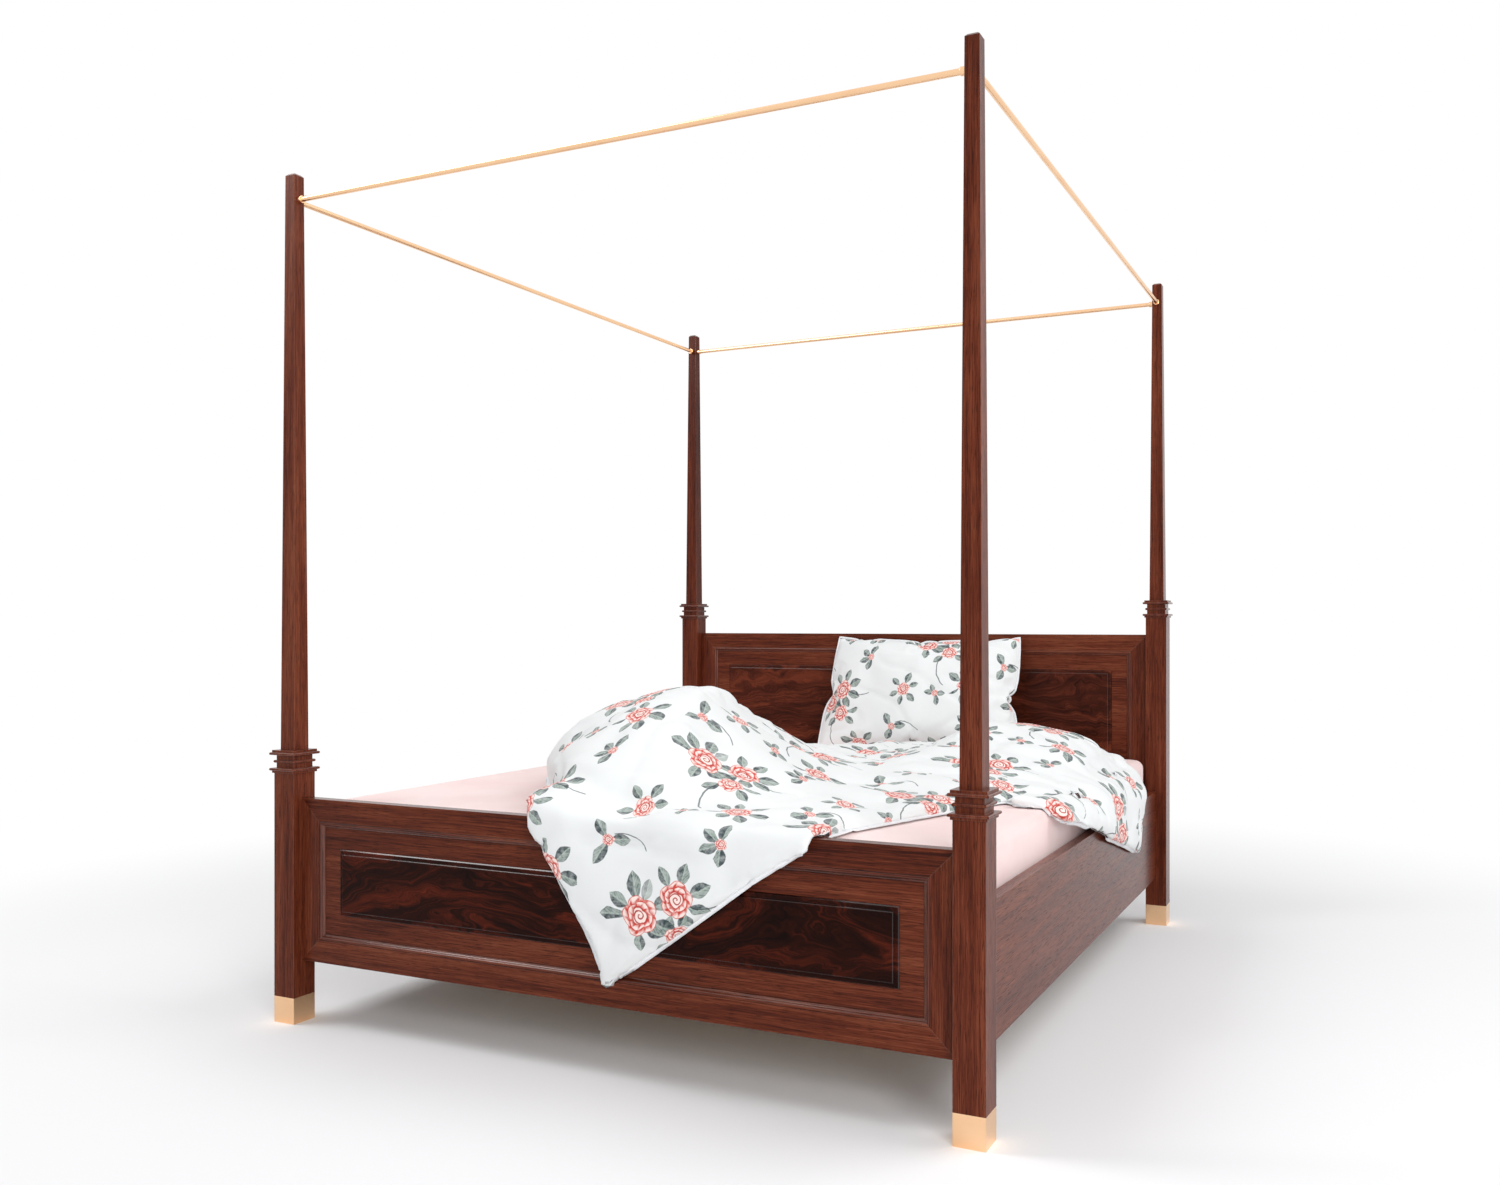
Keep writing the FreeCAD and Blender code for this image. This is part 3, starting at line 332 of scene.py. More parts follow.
def finishFor(name):
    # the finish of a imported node, with the grain along its length
    if name.endswith("raised_panel"):
        return figured[name.split("_")[0]]
    if "foot_cap" in name:
        return brass[2]
    if name in ("left_rod", "right_rod"):
        return brass[1]
    if name in ("foot_rod", "head_rod", "rod_ferrules"):
        return brass[0]
    if name in ("slat_holders", "beam_leg_glides"):
        return plastic
    if name in ("post_studs", "rail_hooks", "post_hook_plates", "ledger_screws", "beam_hangers"):
        return steel
    if name.endswith("panel_screws"):
        return steel
    if name in ("slats_left", "slats_right", "slat_base_end_bars") or name.endswith("dowels"):
        return paleWood[0]
    if name == "beam_legs":
        return paleWood[2]
    if "ledger" in name or "beam" in name or name.startswith("slat"):
        return paleWood[1]
    if "side_rail" in name:
        return mahogany[1]
    if name.endswith(("top_rail", "bottom_rail", "field")):
        return mahogany[0]
    return mahogany[2]


softNodes = ("mattress", "fitted_sheet", "duvet", "pillow")
for name, node in nodes.items():
    if name not in softNodes:
        node.data.materials.clear()
        node.data.materials.append(finishFor(name))
print("frame finishes set")

printLook = {
    "width": 0.41, "height": 0.5, "stray": (0.006, 0.006, 0),
    "cotton": linear(236, 238, 238), "blush": linear(253, 230, 223), "coral": linear(206, 60, 48),
    "wine": linear(140, 26, 28), "leaf": linear(168, 184, 174), "shade": linear(34, 54, 58),
    # x, y, size and turn of each flower or bud; a ring of leaves has its count too
    "roses": [(0.042, 0.062, 0.042, 0.4), (-0.045, 0.02, 0.046, 2.2), (0.05, -0.03, 0.033, 4.0),
              (0.13, -0.165, 0.036, 1.1), (-0.105, -0.19, 0.026, 3.0), (-0.14, 0.17, 0.015, 0.3),
              (0.145, 0.19, 0.014, 2.0), (0.015, -0.2, 0.014, 1.0)],
    "rings": [(0.042, 0.062, 0.047, 0.9, 8), (-0.045, 0.02, 0.05, 0.2, 9), (0.05, -0.03, 0.04, 3.5, 7),
              (0.13, -0.165, 0.042, 0.5, 7), (-0.105, -0.19, 0.034, 2.0, 6)],
    "sprigs": [(-0.14, 0.17, 0.055, 0.7, 6), (0.145, 0.19, 0.045, 4.2, 6), (0.015, -0.2, 0.04, 2.6, 6)],
    # where a leaf starts, how long it is, and the share of leaves left out
    "ringLeaf": (0.66, 1.15, 0.33), "sprigLeaf": (0.08, 0.95, 0.45),
    # x, y, radius, first and last angle
    "stems": [(-0.1, 0.12, 0.07, 0.5, 1.9), (0.1, -0.1, 0.09, 2.4, 4.0), (0.12, 0.12, 0.08, 3.6, 5.2)],
}


def polar(pen, plane, x, y, size, turn):
    # distance and angle round a motif, in units of its size
    sockets = {"Vector": plane, "Location": (x, y, 0), "Rotation": (0, 0, turn), "Scale": (size, size, size)}
    spot = pen.node("Mapping", {"vector_type": "TEXTURE"}, sockets)
    axes = spot.split()
    far = pen.node("VectorMath", {"operation": "LENGTH"}, {0: spot}, "Value")
    return far, pen.math("ARCTAN2", axes[1], axes[0])


def leafRing(pen, plane, x, y, size, turn, count, start, length, missing):
    # leaves set round a point; some are left out and none are of quite one length
    far, angle = polar(pen, plane, x, y, size, turn)
    part = angle*(count/math.tau)
    number = pen.math("FLOOR", part)
    chance = pen.node("TexWhiteNoise", {"noise_dimensions": "1D"}, {"W": number + turn*7.3}, "Value")
    local = (part - number - 0.5 + (chance - 0.5)*0.5)*(math.tau/count)
    reach = length*(0.72 + chance*0.5)
    along = (far*pen.math("COSINE", local) - start)/reach
    side = far*pen.math("SINE", local)/reach
    width = along*(1 - along)*1.15
    inside = (width - abs(side)).step(0, 0.035)*(chance - missing).step(0, 0.01)
    vein = (abs(side) - 0.012).step(0.03, 0)
    rib = pen.math("SINE", along*34 - abs(side)*60).step(0.55, 0.95)*0.35
    rim = (width - abs(side)).step(0.07, 0.02)
    dark = side.step(-0.04, 0.05)*0.55 - vein*0.5 + rim*0.3 + rib + chance*0.3 + 0.12
    return inside, dark


def stem(pen, plane, x, y, size, start, end):
    # a thin twig: part of a ring
    far, angle = polar(pen, plane, x, y, size, math.pi + start)
    part = (angle + math.pi).step(0.0, 0.06)*(angle + math.pi - (end - start)).step(0.06, 0.0)
    return abs(far - 1).step(0.03, 0.012)*part


def rose(pen, plane, x, y, size, turn):
    # petals drawn as scalloped rings round a curled heart
    far, angle = polar(pen, plane, x, y, size, turn)
    outer = 0.8 + abs(pen.math("COSINE", angle*2.5 + 0.6))*0.18
    middle = 0.56 + abs(pen.math("COSINE", angle*2 + 1.9))*0.13
    inner = 0.34 + abs(pen.math("COSINE", angle*1.5 + 0.3))*0.09
    cover = (outer - far).step(0, 0.03)
    lines = (abs(far - outer + 0.03) - 0.01).step(0.04, 0)*0.7
    lines = pen.math("MAXIMUM", lines, (abs(far - middle) - 0.012).step(0.045, 0)*0.9)
    lines = pen.math("MAXIMUM", lines, (abs(far - inner) - 0.012).step(0.045, 0))
    curl = pen.math("SINE", far*30 - angle).step(0.4, 0.9)*(inner - far).step(0, 0.05)
    lines = pen.math("MAXIMUM", lines, curl)
    petals = pen.math("SINE", angle*11 + far*9).step(0.1, 1)*0.38
    shade = (far - middle).step(0.26, 0.0)*(far - middle).step(-0.01, 0.02)*0.62
    shade = pen.math("MAXIMUM", shade, (far - inner).step(0.22, 0)*(far - inner).step(-0.01, 0.02)*0.7)
    red = pen.math("MAXIMUM", lines, shade + petals*(far - inner).step(0, 0.1))
    return cover, red, lines*(inner - far).step(-0.1, 0.1)


def cottonPrint(name, look):
    # white cotton printed with rose sprays in a half-drop repeat, laid out on the cloth's own map
    material, pen, shader = newFinish(name)
    cloth = pen.node("UVMap", {"uv_map": "cloth"}, {})
    wobble = pen.node("TexNoise", {}, {"Vector": cloth, "Scale": 55.0, "Detail": 2.0}, "Color")
    shaken = pen.node("VectorMath", {"operation": "MULTIPLY_ADD"},
                      {0: wobble, 1: look["stray"], 2: cloth}, "Vector")
    u, v = shaken.split()[:2]
    column = pen.math("FLOOR", u/look["width"])
    drop = v/look["height"] + pen.math("FRACT", column*0.5)
    x = (u/look["width"] - column - 0.5)*look["width"]
    y = (drop - pen.math("FLOOR", drop) - 0.5)*look["height"]
    plane = pen.node("CombineXYZ", {}, {"X": x, "Y": y})
    paint = pen.node("TexNoise", {}, {"Vector": cloth, "Scale": 90.0, "Detail": 3.0}).step(0.25, 0.75)
    colour = look["cotton"]
    leaves = [leafRing(pen, plane, *ring, *look["ringLeaf"]) for ring in look["rings"]]
    leaves += [leafRing(pen, plane, *sprig, *look["sprigLeaf"]) for sprig in look["sprigs"]]
    for inside, dark in leaves:
        tint = pen.blend(dark*(0.75 + paint*0.5), look["leaf"], look["shade"])
        colour = pen.blend(inside*(0.72 + paint*0.28), colour, tint)
    for twig in look["stems"]:
        colour = pen.blend(stem(pen, plane, *twig)*0.8, colour, look["shade"])
    for flower in look["roses"]:
        cover, red, heart = rose(pen, plane, *flower)
        petal = pen.blend(red.step(0.1, 0.85)*(0.72 + paint*0.5), look["blush"], look["coral"])
        petal = pen.blend(heart*0.6, petal, look["wine"])
        colour = pen.blend(cover, colour, petal)
    warp = pen.noise(cloth, (420, 2600, 1), 2, 0.5)
    weft = pen.noise(cloth, (2600, 420, 1), 2, 0.5)
    crease = pen.noise(cloth, (26, 34, 1), 4, 0.55, 0.6)
    bumped = pen.bump(0.28, 0.0022, (warp + weft)*0.12 + crease)
    rough = 0.8 + (warp + weft)*0.06
    feed(shader, Base_Color=colour, Roughness=rough, Normal=bumped, Sheen_Weight=0.15, Sheen_Roughness=0.5)
    return material


jerseyLook = {"pale": linear(250, 229, 226), "deep": linear(240, 208, 205)}


def jerseyFinish(name, look):
    # pink knitted jersey: fine wales, a soft unevenness, and gathers down the sides
    material, pen, shader = newFinish(name)
    place = pen.here()
    wale = pen.noise(place, (1500, 260, 1500), 2, 0.5)
    cloud = pen.noise(place, (5, 5, 9), 3, 0.5)
    fold = pen.noise(place, (18, 18, 24), 4, 0.5, 0.5)
    level = abs(pen.node("NewGeometry", {}, {}, "Normal").split()[2])
    gather = pen.noise(place, (34, 34, 2.5), 3, 0.5, 0.4)*(1 - level)
    colour = pen.blend(cloud.step(0.3, 0.75)*0.5 + wale*0.3, look["pale"], look["deep"])
    bumped = pen.bump(0.2, 0.0025, wale*0.15 + fold + gather*1.6)
    feed(shader, Base_Color=colour, Roughness=0.78 + wale*0.1, Normal=bumped,
         Sheen_Weight=0.2, Sheen_Roughness=0.5)
    return material


tickingLook = {"pale": linear(236, 231, 222), "stripe": linear(196, 198, 204), "pitch": 0.03}


def tickingFinish(name, look):
    # mattress ticking: a woven stripe on off-white
    material, pen, shader = newFinish(name)
    place = pen.here()
    across = place.split()[0]
    stripe = pen.math("SINE", across*(math.tau/look["pitch"])).step(0.75, 0.85)
    weave = pen.noise(place, (1700, 1700, 1700), 2)
    colour = pen.blend(stripe*0.8, look["pale"], look["stripe"])
    bumped = pen.bump(0.15, 0.0006, weave + stripe*0.4)
    feed(shader, Base_Color=colour, Roughness=0.82 + weave*0.1, Normal=bumped)
    return material


plainLook = {"cotton": linear(240, 241, 243), "shade": linear(226, 228, 232)}


def plainFinish(name, look):
    # unprinted cotton of the sewn edges
    material, pen, shader = newFinish(name)
    place = pen.here()
    weave = pen.noise(place, (1800, 1800, 1800), 2)
    stitch = pen.noise(place, (260, 260, 260), 1)
    colour = pen.blend(stitch.step(0.4, 0.7)*0.6, look["cotton"], look["shade"])
    bumped = pen.bump(0.25, 0.001, weave*0.3 + stitch)
    feed(shader, Base_Color=colour, Roughness=0.8 + weave*0.1, Normal=bumped)
    return material


rosePrint = cottonPrint("rose-cotton", printLook)
plainCotton = plainFinish("plain-cotton", plainLook)
jersey = jerseyFinish("pink-jersey", jerseyLook)
ticking = tickingFinish("ticking", tickingLook)
print("cloth finishes made")


def openMesh(mesh):
    bm = bmesh.new()
    bm.from_mesh(mesh)
    return bm


def closeMesh(bm, mesh):
    bm.to_mesh(mesh)
    bm.free()


def linked(name, mesh, finish):
    piece = bpy.data.objects.new(name, mesh)
    scene.collection.objects.link(piece)
    mesh.materials.clear()
    mesh.materials.append(finish)
    return piece


def pieceFrom(bm, name, finish):
    mesh = bpy.data.meshes.new(name)
    closeMesh(bm, mesh)
    return linked(name, mesh, finish)


def applyAll(piece):
    # takes the evaluated shape as the piece's own mesh
    graph = bpy.context.evaluated_depsgraph_get()
    mesh = bpy.data.meshes.new_from_object(piece.evaluated_get(graph))
    piece.modifiers.clear()
    piece.data = mesh


def thicken(piece, thick, offset):
    wall = piece.modifiers.new("wall", "SOLIDIFY")
    wall.thickness = thick
    wall.offset = offset
    applyAll(piece)


def softCopy(name, node, voxel, finish):
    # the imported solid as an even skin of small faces
    mesh = nodes[node].data.copy()
    bm = openMesh(mesh)
    bmesh.ops.remove_doubles(bm, verts=bm.verts, dist=0.00005)
    closeMesh(bm, mesh)
    piece = linked(name, mesh, finish)
    remesh = piece.modifiers.new("skin", "REMESH")
    remesh.mode = "VOXEL"
    remesh.voxel_size = voxel
    applyAll(piece)
    return piece


def points(piece):
    spots = np.zeros(len(piece.data.vertices)*3)
    piece.data.vertices.foreach_get("co", spots)
    return spots.reshape(-1, 3)


def setPoints(piece, spots):
    piece.data.vertices.foreach_set("co", spots.ravel())
    piece.data.update()


def relax(piece, rounds):
    bm = openMesh(piece.data)
    for turn in range(rounds):
        bmesh.ops.smooth_vert(bm, verts=bm.verts, factor=0.5,
                              use_axis_x=True, use_axis_y=True, use_axis_z=True)
    closeMesh(bm, piece.data)


clothLook = {
    "quality": 5, "mass": 0.25, "tension_stiffness": 12, "compression_stiffness": 12,
    "shear_stiffness": 6, "bending_stiffness": 0.4, "use_pressure": True,
}


def puffUp(piece, look):
    # a short cloth run with inner pressure; slack lets the cloth grow, so that it buckles
    started = time.time()
    rest = points(piece)
    cloth = piece.modifiers.new("cloth", "CLOTH")
    settings = cloth.settings
    for name, value in clothLook.items():
        setattr(settings, name, value)
    settings.shrink_min = -look["slack"]
    settings.uniform_pressure_force = look["pressure"]
    settings.effector_weights.gravity = 0
    cloth.collision_settings.use_collision = False
    for number in range(1, look["frames"] + 1):
        scene.frame_set(number)
    applyAll(piece)
    scene.frame_set(1)
    shift = points(piece) - rest
    size = np.linalg.norm(shift, axis=1, keepdims=True)
    setPoints(piece, rest + shift*np.minimum(1, look["cap"]/np.maximum(size, 1e-9)))
    print("cloth run of", piece.name, round(time.time() - started), "s, moved", round(float(size.max()), 3))


def emptyTree(owner):
    owner.use_nodes = True
    owner.node_tree.nodes.clear()
    return Wire(owner.node_tree)


def seenDirectly(pen):
    # 1 for the camera and for what mirrors and panes show it, 0 for the light on the object
    paths = pen.node("LightPath", {}, {}, "Is Camera Ray")
    rays = paths + paths.other("Is Glossy Ray") + paths.other("Is Transmission Ray")
    return pen.math("MINIMUM", rays, 1.0)


floorLook = {"size": 60.0, "colour": (0.95, 0.95, 0.96, 1), "near": 1.1, "far": 3.7}


def layFloor(look):
    # pale and matt near the bed, plain white further off
    bm = bmesh.new()
    bmesh.ops.create_grid(bm, x_segments=1, y_segments=1, size=look["size"])
    material = bpy.data.materials.new("pale-floor")
    pen = emptyTree(material)
    away = pen.node("VectorMath", {"operation": "LENGTH"}, {0: pen.here()}, "Value")
    matte = pen.node("BsdfDiffuse", {}, {"Color": look["colour"]})
    white = pen.node("Emission", {}, {"Color": (1, 1, 1, 1), "Strength": 1.0})
    fade = away.step(look["near"], look["far"])*seenDirectly(pen)
    mixed = pen.node("MixShader", {}, {0: fade, 1: matte, 2: white})
    pen.node("OutputMaterial", {}, {"Surface": mixed})
    floor = pieceFrom(bm, "floor", material)


lightLook = {
    "world": 0.35,
    # place, aim, width and length, power in watts
    "lamps": {
        "key": ((3.6, 0.8, 4.4), (0, 0, 0.6), (3.0, 3.0), 112),
        "fill": ((3.4, -4.2, 2.2), (0.6, -0.4, 0.5), (2.4, 2.0), 120),
        "strip": ((-2.0, -1.5, 3.6), (0, -0.6, 0.5), (1.2, 2.6), 66),
    },
}


def lightWorld(strength):
    world = bpy.data.worlds.new("studio")
    scene.world = world
    pen = emptyTree(world)
    soft = pen.node("Background", {}, {"Color": (0.97, 0.98, 1, 1), "Strength": strength})
    white = pen.node("Background", {}, {"Color": (1, 1, 1, 1), "Strength": 1.0})
    mixed = pen.node("MixShader", {}, {0: seenDirectly(pen), 1: soft, 2: white})
    pen.node("OutputWorld", {}, {"Surface": mixed})


def softBox(name, place, aim, size, power):
    lamp = bpy.data.lights.new(name, "AREA")
    lamp.shape = "RECTANGLE"
    lamp.size, lamp.size_y = size
    lamp.energy = power
    item = bpy.data.objects.new(name, lamp)
    scene.collection.objects.link(item)
    item.visible_camera = False
    item.location = place
    item.rotation_euler = (Vector(aim) - Vector(place)).to_track_quat("-Z", "Y").to_euler()


viewLook = {               # focal length, axis and picture in pixels
    "place": (1.7278, -3.4851, 1.0490), "turn": (90, 0, 25.1286),
    "focal": 1264.97, "axis": (813.55, 623.08), "picture": (1500, 1185), "sensor": 36.0,
}


def setCamera(look):
    wide, high = look["picture"]
    data = bpy.data.cameras.new("camera")
    data.sensor_width = look["sensor"]
    data.lens = look["focal"]/wide*look["sensor"]
    data.shift_x = (wide/2 - look["axis"][0])/wide
    data.shift_y = (look["axis"][1] - high/2)/wide
    camera = bpy.data.objects.new("camera", data)
    scene.collection.objects.link(camera)
    camera.location = look["place"]
    camera.rotation_euler = [math.radians(angle) for angle in look["turn"]]
    scene.camera = camera


setCamera(viewLook)
layFloor(floorLook)
lightWorld(lightLook["world"])
for name, lamp in lightLook["lamps"].items():
    softBox(name, *lamp)
scene.view_settings.view_transform = "Standard"
print("camera, floor and lights set")


def evenSeam(bm, rounds):
    # takes the small steps out of the sewn edge
    sewn = [edge for edge in bm.edges if edge.seam]
    beside = {}
    for edge in sewn:
        for vert in edge.verts:
            beside.setdefault(vert, []).append(edge.other_vert(vert))
    for turn in range(rounds):
        moved = {vert: sum((n.co for n in near), Vector())/len(near) for vert, near in beside.items()}
        for vert, place in moved.items():
            vert.co = vert.co.lerp(place, 0.5)


def shownFaces(bm, outward, rounds):
    # which faces are on the shown side, with a border evened out in a few rounds
    ends = np.array([[vert.index for vert in edge.verts] for edge in bm.edges])
    value = np.array([outward(vert.co, vert.normal) for vert in bm.verts])
    count = np.bincount(ends.ravel(), minlength=len(value))
    for turn in range(rounds):
        total = np.bincount(ends[:, 0], value[ends[:, 1]], len(value))
        total += np.bincount(ends[:, 1], value[ends[:, 0]], len(value))
        value = 0.5*value + 0.5*total/count
    return np.array([sum(value[vert.index] for vert in face.verts) > 0 for face in bm.faces])


def clothMap(piece, outward, look):
    # flattens the skin on a map: the shown side is one island, cut along the sewn edge
    bm = openMesh(piece.data)
    shown = shownFaces(bm, outward, look["border"])
    for edge in bm.edges:
        faces = edge.link_faces
        edge.seam = len(faces) == 2 and bool(shown[faces[0].index] != shown[faces[1].index])
    evenSeam(bm, look["evenFirst"])
    closeMesh(bm, piece.data)
    piece.data.uv_layers.new(name="cloth")
    for item in bpy.context.selected_objects:
        item.select_set(False)
    bpy.context.view_layer.objects.active = piece
    piece.select_set(True)
    bpy.ops.object.mode_set(mode="EDIT")
    bpy.ops.mesh.select_all(action="SELECT")
    bpy.ops.uv.unwrap(method="MINIMUM_STRETCH", iterations=12, margin=0.0)
    bpy.ops.object.mode_set(mode="OBJECT")
    piece.select_set(False)
    return shown


def squareMap(piece, axes, shown):
    # turns and scales the map so that it lies true to the world's axes, in metres
    mesh = piece.data
    corners = np.zeros(len(mesh.loops)*2)
    mesh.uv_layers["cloth"].uv.foreach_get("vector", corners)
    corners = corners.reshape(-1, 2)
    index = np.zeros(len(mesh.loops), dtype=np.int32)
    mesh.loops.foreach_get("vertex_index", index)
    flat = points(piece)[index][:, axes]
    front = np.repeat(shown, [face.loop_total for face in mesh.polygons])
    for side in (front, ~front):
        a = corners[side] - corners[side].mean(0)
        b = flat[side] - flat[side].mean(0)
        a, b = a[:, 0] + 1j*a[:, 1], b[:, 0] + 1j*b[:, 1]
        turns = [(np.conj(way)*b).sum()/(np.conj(way)*way).sum() for way in (a, np.conj(a))]
        mirrored = abs(turns[1]) > abs(turns[0])
        placed = np.conj(a)*turns[1] if mirrored else a*turns[0]
        corners[side] = np.stack([placed.real, placed.imag], 1) + flat[side].mean(0)
        print("map of", piece.name, "scale", round(max(abs(turns[0]), abs(turns[1])), 3))
    mesh.uv_layers["cloth"].uv.foreach_set("vector", corners.ravel())


duvetLook = {
    "voxel": 0.012, "relax": 7, "pressure": 2.0, "slack": 0.05, "cap": 0.013, "frames": 14,
    "foot": (-1.02, 0.6),  # the corner over the footboard hangs past this y, below this z
    "side": (0.925, 0.55),             # and the one over the rail past this x, below this z
    "dropFrom": -1.03, "drop": 1.07,   # lengthens the corner over the footboard, past this y
    "bulges": [((-0.12, -0.93, 0.66), 0.2, (-0.05, 0, 0.055)),
               ((-0.42, -0.62, 0.68), 0.17, (-0.04, 0, 0.02))],
    "settle": 0.08,        # height over the mattress at which a bulge is whole
    "waves": [((5, 5, 5), 0.016, 3), ((4, 11, 7), 0.011, 8), ((17, 14, 17), 0.0035, 15)],
    "creases": [((2.2, 6.5, 5), 0.007, 31), ((6, 2.4, 5), 0.006, 44)],
    "tipReach": 0.1, "tipPull": (-0.015, 0, -0.021), "calm": 5, "gap": 0.004,
    "border": 12, "evenFirst": 40, "evenLast": 8,      # rounds that even out the sewn edge
    "hem": 0.009, "hemThick": 0.003,
}


def duvetOutward(middle, normal):
    # the shown side: up on the mattress, away from the bed on the hanging corners
    footY, footZ = duvetLook["foot"]
    sideX, sideZ = duvetLook["side"]
    if middle.y < footY and middle.z < footZ:
        return 0.2 - normal.y
    if middle.x > sideX and middle.z < sideZ:
        return 0.2 + normal.x
    return 0.25 + normal.z


def swell(piece, look, rest):
    # pushes soft mounds out of the skin, and leaves what lies at the rest height
    spots = points(piece)
    free = np.clip((spots[:, 2] - rest)/look["settle"], 0, 1)
    for middle, radius, push in look["bulges"]:
        far = np.linalg.norm(spots - np.array(middle), axis=1)
        spots += (np.exp(-(far/radius)**2)*free)[:, None]*np.array(push)
    setPoints(piece, spots)


def pullTip(piece, look, rest):
    # lengthens the corner over the footboard and draws its lowest point out
    spots = points(piece)
    hanging = (spots[:, 1] < look["dropFrom"]) & (spots[:, 2] < rest)
    spots[hanging, 2] = rest - (rest - spots[hanging, 2])*look["drop"]
    far = np.linalg.norm(spots - spots[spots[:, 2].argmin()], axis=1)
    spots += (np.clip(1 - far/look["tipReach"], 0, 1)**2)[:, None]*np.array(look["tipPull"])
    setPoints(piece, spots)


def ringsFromSeam(mesh, most):
    # how many edges each vertex lies away from the sewn edge, up to a limit
    ends = np.array([edge.vertices[:] for edge in mesh.edges])
    sewn = ends[[edge.use_seam for edge in mesh.edges]]
    rings = np.full(len(mesh.vertices), most)
    rings[sewn.ravel()] = 0
    for turn in range(most):
        for one, two in ((0, 1), (1, 0)):
            np.minimum.at(rings, ends[:, one], rings[ends[:, two]] + 1)
    return rings


def ruffle(piece, look, shown):
    # soft waves and sharper creases across the shown side
    sharp = 6              # the larger, the narrower a crease
    mesh = piece.data
    spots = points(piece)
    normals = np.zeros(spots.size)
    mesh.vertices.foreach_get("normal", normals)
    loose = np.zeros(len(spots), dtype=bool)
    for face, out in zip(mesh.polygons, shown):
        loose[list(face.vertices)] |= bool(out)
    rise = np.zeros(len(spots))
    inward = ringsFromSeam(mesh, look["calm"])/look["calm"]
    for number in np.flatnonzero(loose):
        for scale, amount, seed in look["waves"]:
            rise[number] += amount*noise.noise(Vector(spots[number]*scale + seed))
        for scale, amount, seed in look["creases"]:
            off = abs(noise.noise(Vector(spots[number]*scale + seed)))
            rise[number] -= amount*max(0, 1 - off*sharp)
    setPoints(piece, spots + normals.reshape(-1, 3)*(rise*inward)[:, None])


def sewHem(name, piece, look, body):
    # the flat sewn lip that runs round a cover
    reach = look["hem"]
    sunk = 0.3             # share of the lip that lies inside the cover
    bm = openMesh(piece.data)
    bm.normal_update()
    ways = {vert: vert.normal.copy() for edge in bm.edges if edge.seam for vert in edge.verts}
    bmesh.ops.delete(bm, geom=[vert for vert in bm.verts if vert not in ways], context="VERTS")
    bmesh.ops.delete(bm, geom=bm.faces[:], context="FACES_ONLY")
    bmesh.ops.delete(bm, geom=[edge for edge in bm.edges if not edge.seam], context="EDGES")
    rim = bmesh.ops.extrude_edge_only(bm, edges=bm.edges[:])["geom"]
    lip = [item for item in rim if isinstance(item, bmesh.types.BMVert)]
    for vert in lip:
        near = [edge.other_vert(vert) for edge in vert.link_edges]
        root = min(near, key=lambda v: (v.co - vert.co).length)
        vert.co += ways.get(root, root.normal)*reach
    for vert in ways:
        if vert.is_valid:
            vert.co -= ways[vert]*reach*sunk
    bmesh.ops.recalc_face_normals(bm, faces=bm.faces)
    hem = pieceFrom(bm, name, plainCotton)
    thicken(hem, look["hemThick"], 0)
    hem.data.shade_smooth()
    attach(hem, body)
    print(name, "made,", len(hem.data.polygons), "faces")
    return hem


easeLook = {"reach": 0.035, "rounds": 12}  # how far from a board's edge the skin is eased, and how often


def keepOut(piece, hard, exits, gap, rounds=1):
    # moves what lies inside a hard block out of it, by the nearest of the open faces;
    # further rounds ease the skin over the edge between two such faces
    spots = points(piece)
    ends = np.array([edge.vertices[:] for edge in piece.data.edges])
    count = np.bincount(ends.ravel(), minlength=len(spots))[:, None]
    low, high = np.array(hard[0]) - gap, np.array(hard[1]) + gap
    axes = [axis for axis, side in exits]
    faces = np.array([high[axis] if side > 0 else low[axis] for axis, side in exits])
    for turn in range(rounds):
        if turn:
            total = np.zeros_like(spots)
            np.add.at(total, ends[:, 0], spots[ends[:, 1]])
            np.add.at(total, ends[:, 1], spots[ends[:, 0]])
            close = np.linalg.norm(spots[:, axes] - faces, axis=1) < easeLook["reach"]
            spots[close] = 0.5*spots[close] + 0.5*(total/count)[close]
        inside = np.flatnonzero(((spots > low) & (spots < high)).all(1))
        nearest = abs(spots[inside][:, axes] - faces).argmin(1)
        spots[inside, np.array(axes)[nearest]] = faces[nearest]
    setPoints(piece, spots)


def boardBox(name):
    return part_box(name + "_bottom_rail")[0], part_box(name + "_top_rail")[1]


def clearDuvet(piece, gap):
    # the cover lies on the sheet, and hangs in front of the footboard and outside the right rail;
    # it also spans the narrow slots between the mattress and these boards
    sheetLow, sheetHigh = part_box("fitted_sheet")
    keepOut(piece, (sheetLow, sheetHigh), [(2, 1), (0, 1)], gap)
    low, high = boardBox("footboard")
    keepOut(piece, (low, (high.x, sheetLow.y, high.z)), [(1, -1), (2, 1)], gap, easeLook["rounds"])
    low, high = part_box("right_side_rail")
    keepOut(piece, ((sheetHigh.x, low.y, low.z), high), [(0, 1), (2, 1)], gap, easeLook["rounds"])


def clearPillow(piece, gap):
    # the case stands on the sheet and leans on the headboard
    keepOut(piece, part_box("fitted_sheet"), [(2, 1)], gap)
    keepOut(piece, boardBox("headboard"), [(1, -1)], gap)


def makeDuvet(look):
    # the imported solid's skin, mapped flat for the print, creased, puffed up and hemmed
    piece = softCopy("duvet-cover", "duvet", look["voxel"], rosePrint)
    relax(piece, look["relax"])
    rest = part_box("mattress")[1].z
    swell(piece, look, rest)
    pullTip(piece, look, rest)
    shown = clothMap(piece, duvetOutward, look)
    squareMap(piece, [0, 1], shown)
    ruffle(piece, look, shown)
    puffUp(piece, look)
    bm = openMesh(piece.data)
    evenSeam(bm, look["evenLast"])
    closeMesh(bm, piece.data)
    clearDuvet(piece, look["gap"])
    piece.data.shade_smooth()
    hem = sewHem("duvet-hem", piece, look, "duvet")
    clearDuvet(hem, look["gap"])
    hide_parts("duvet")
    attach(piece, "duvet")
    print("duvet made,", len(piece.data.polygons), "faces")


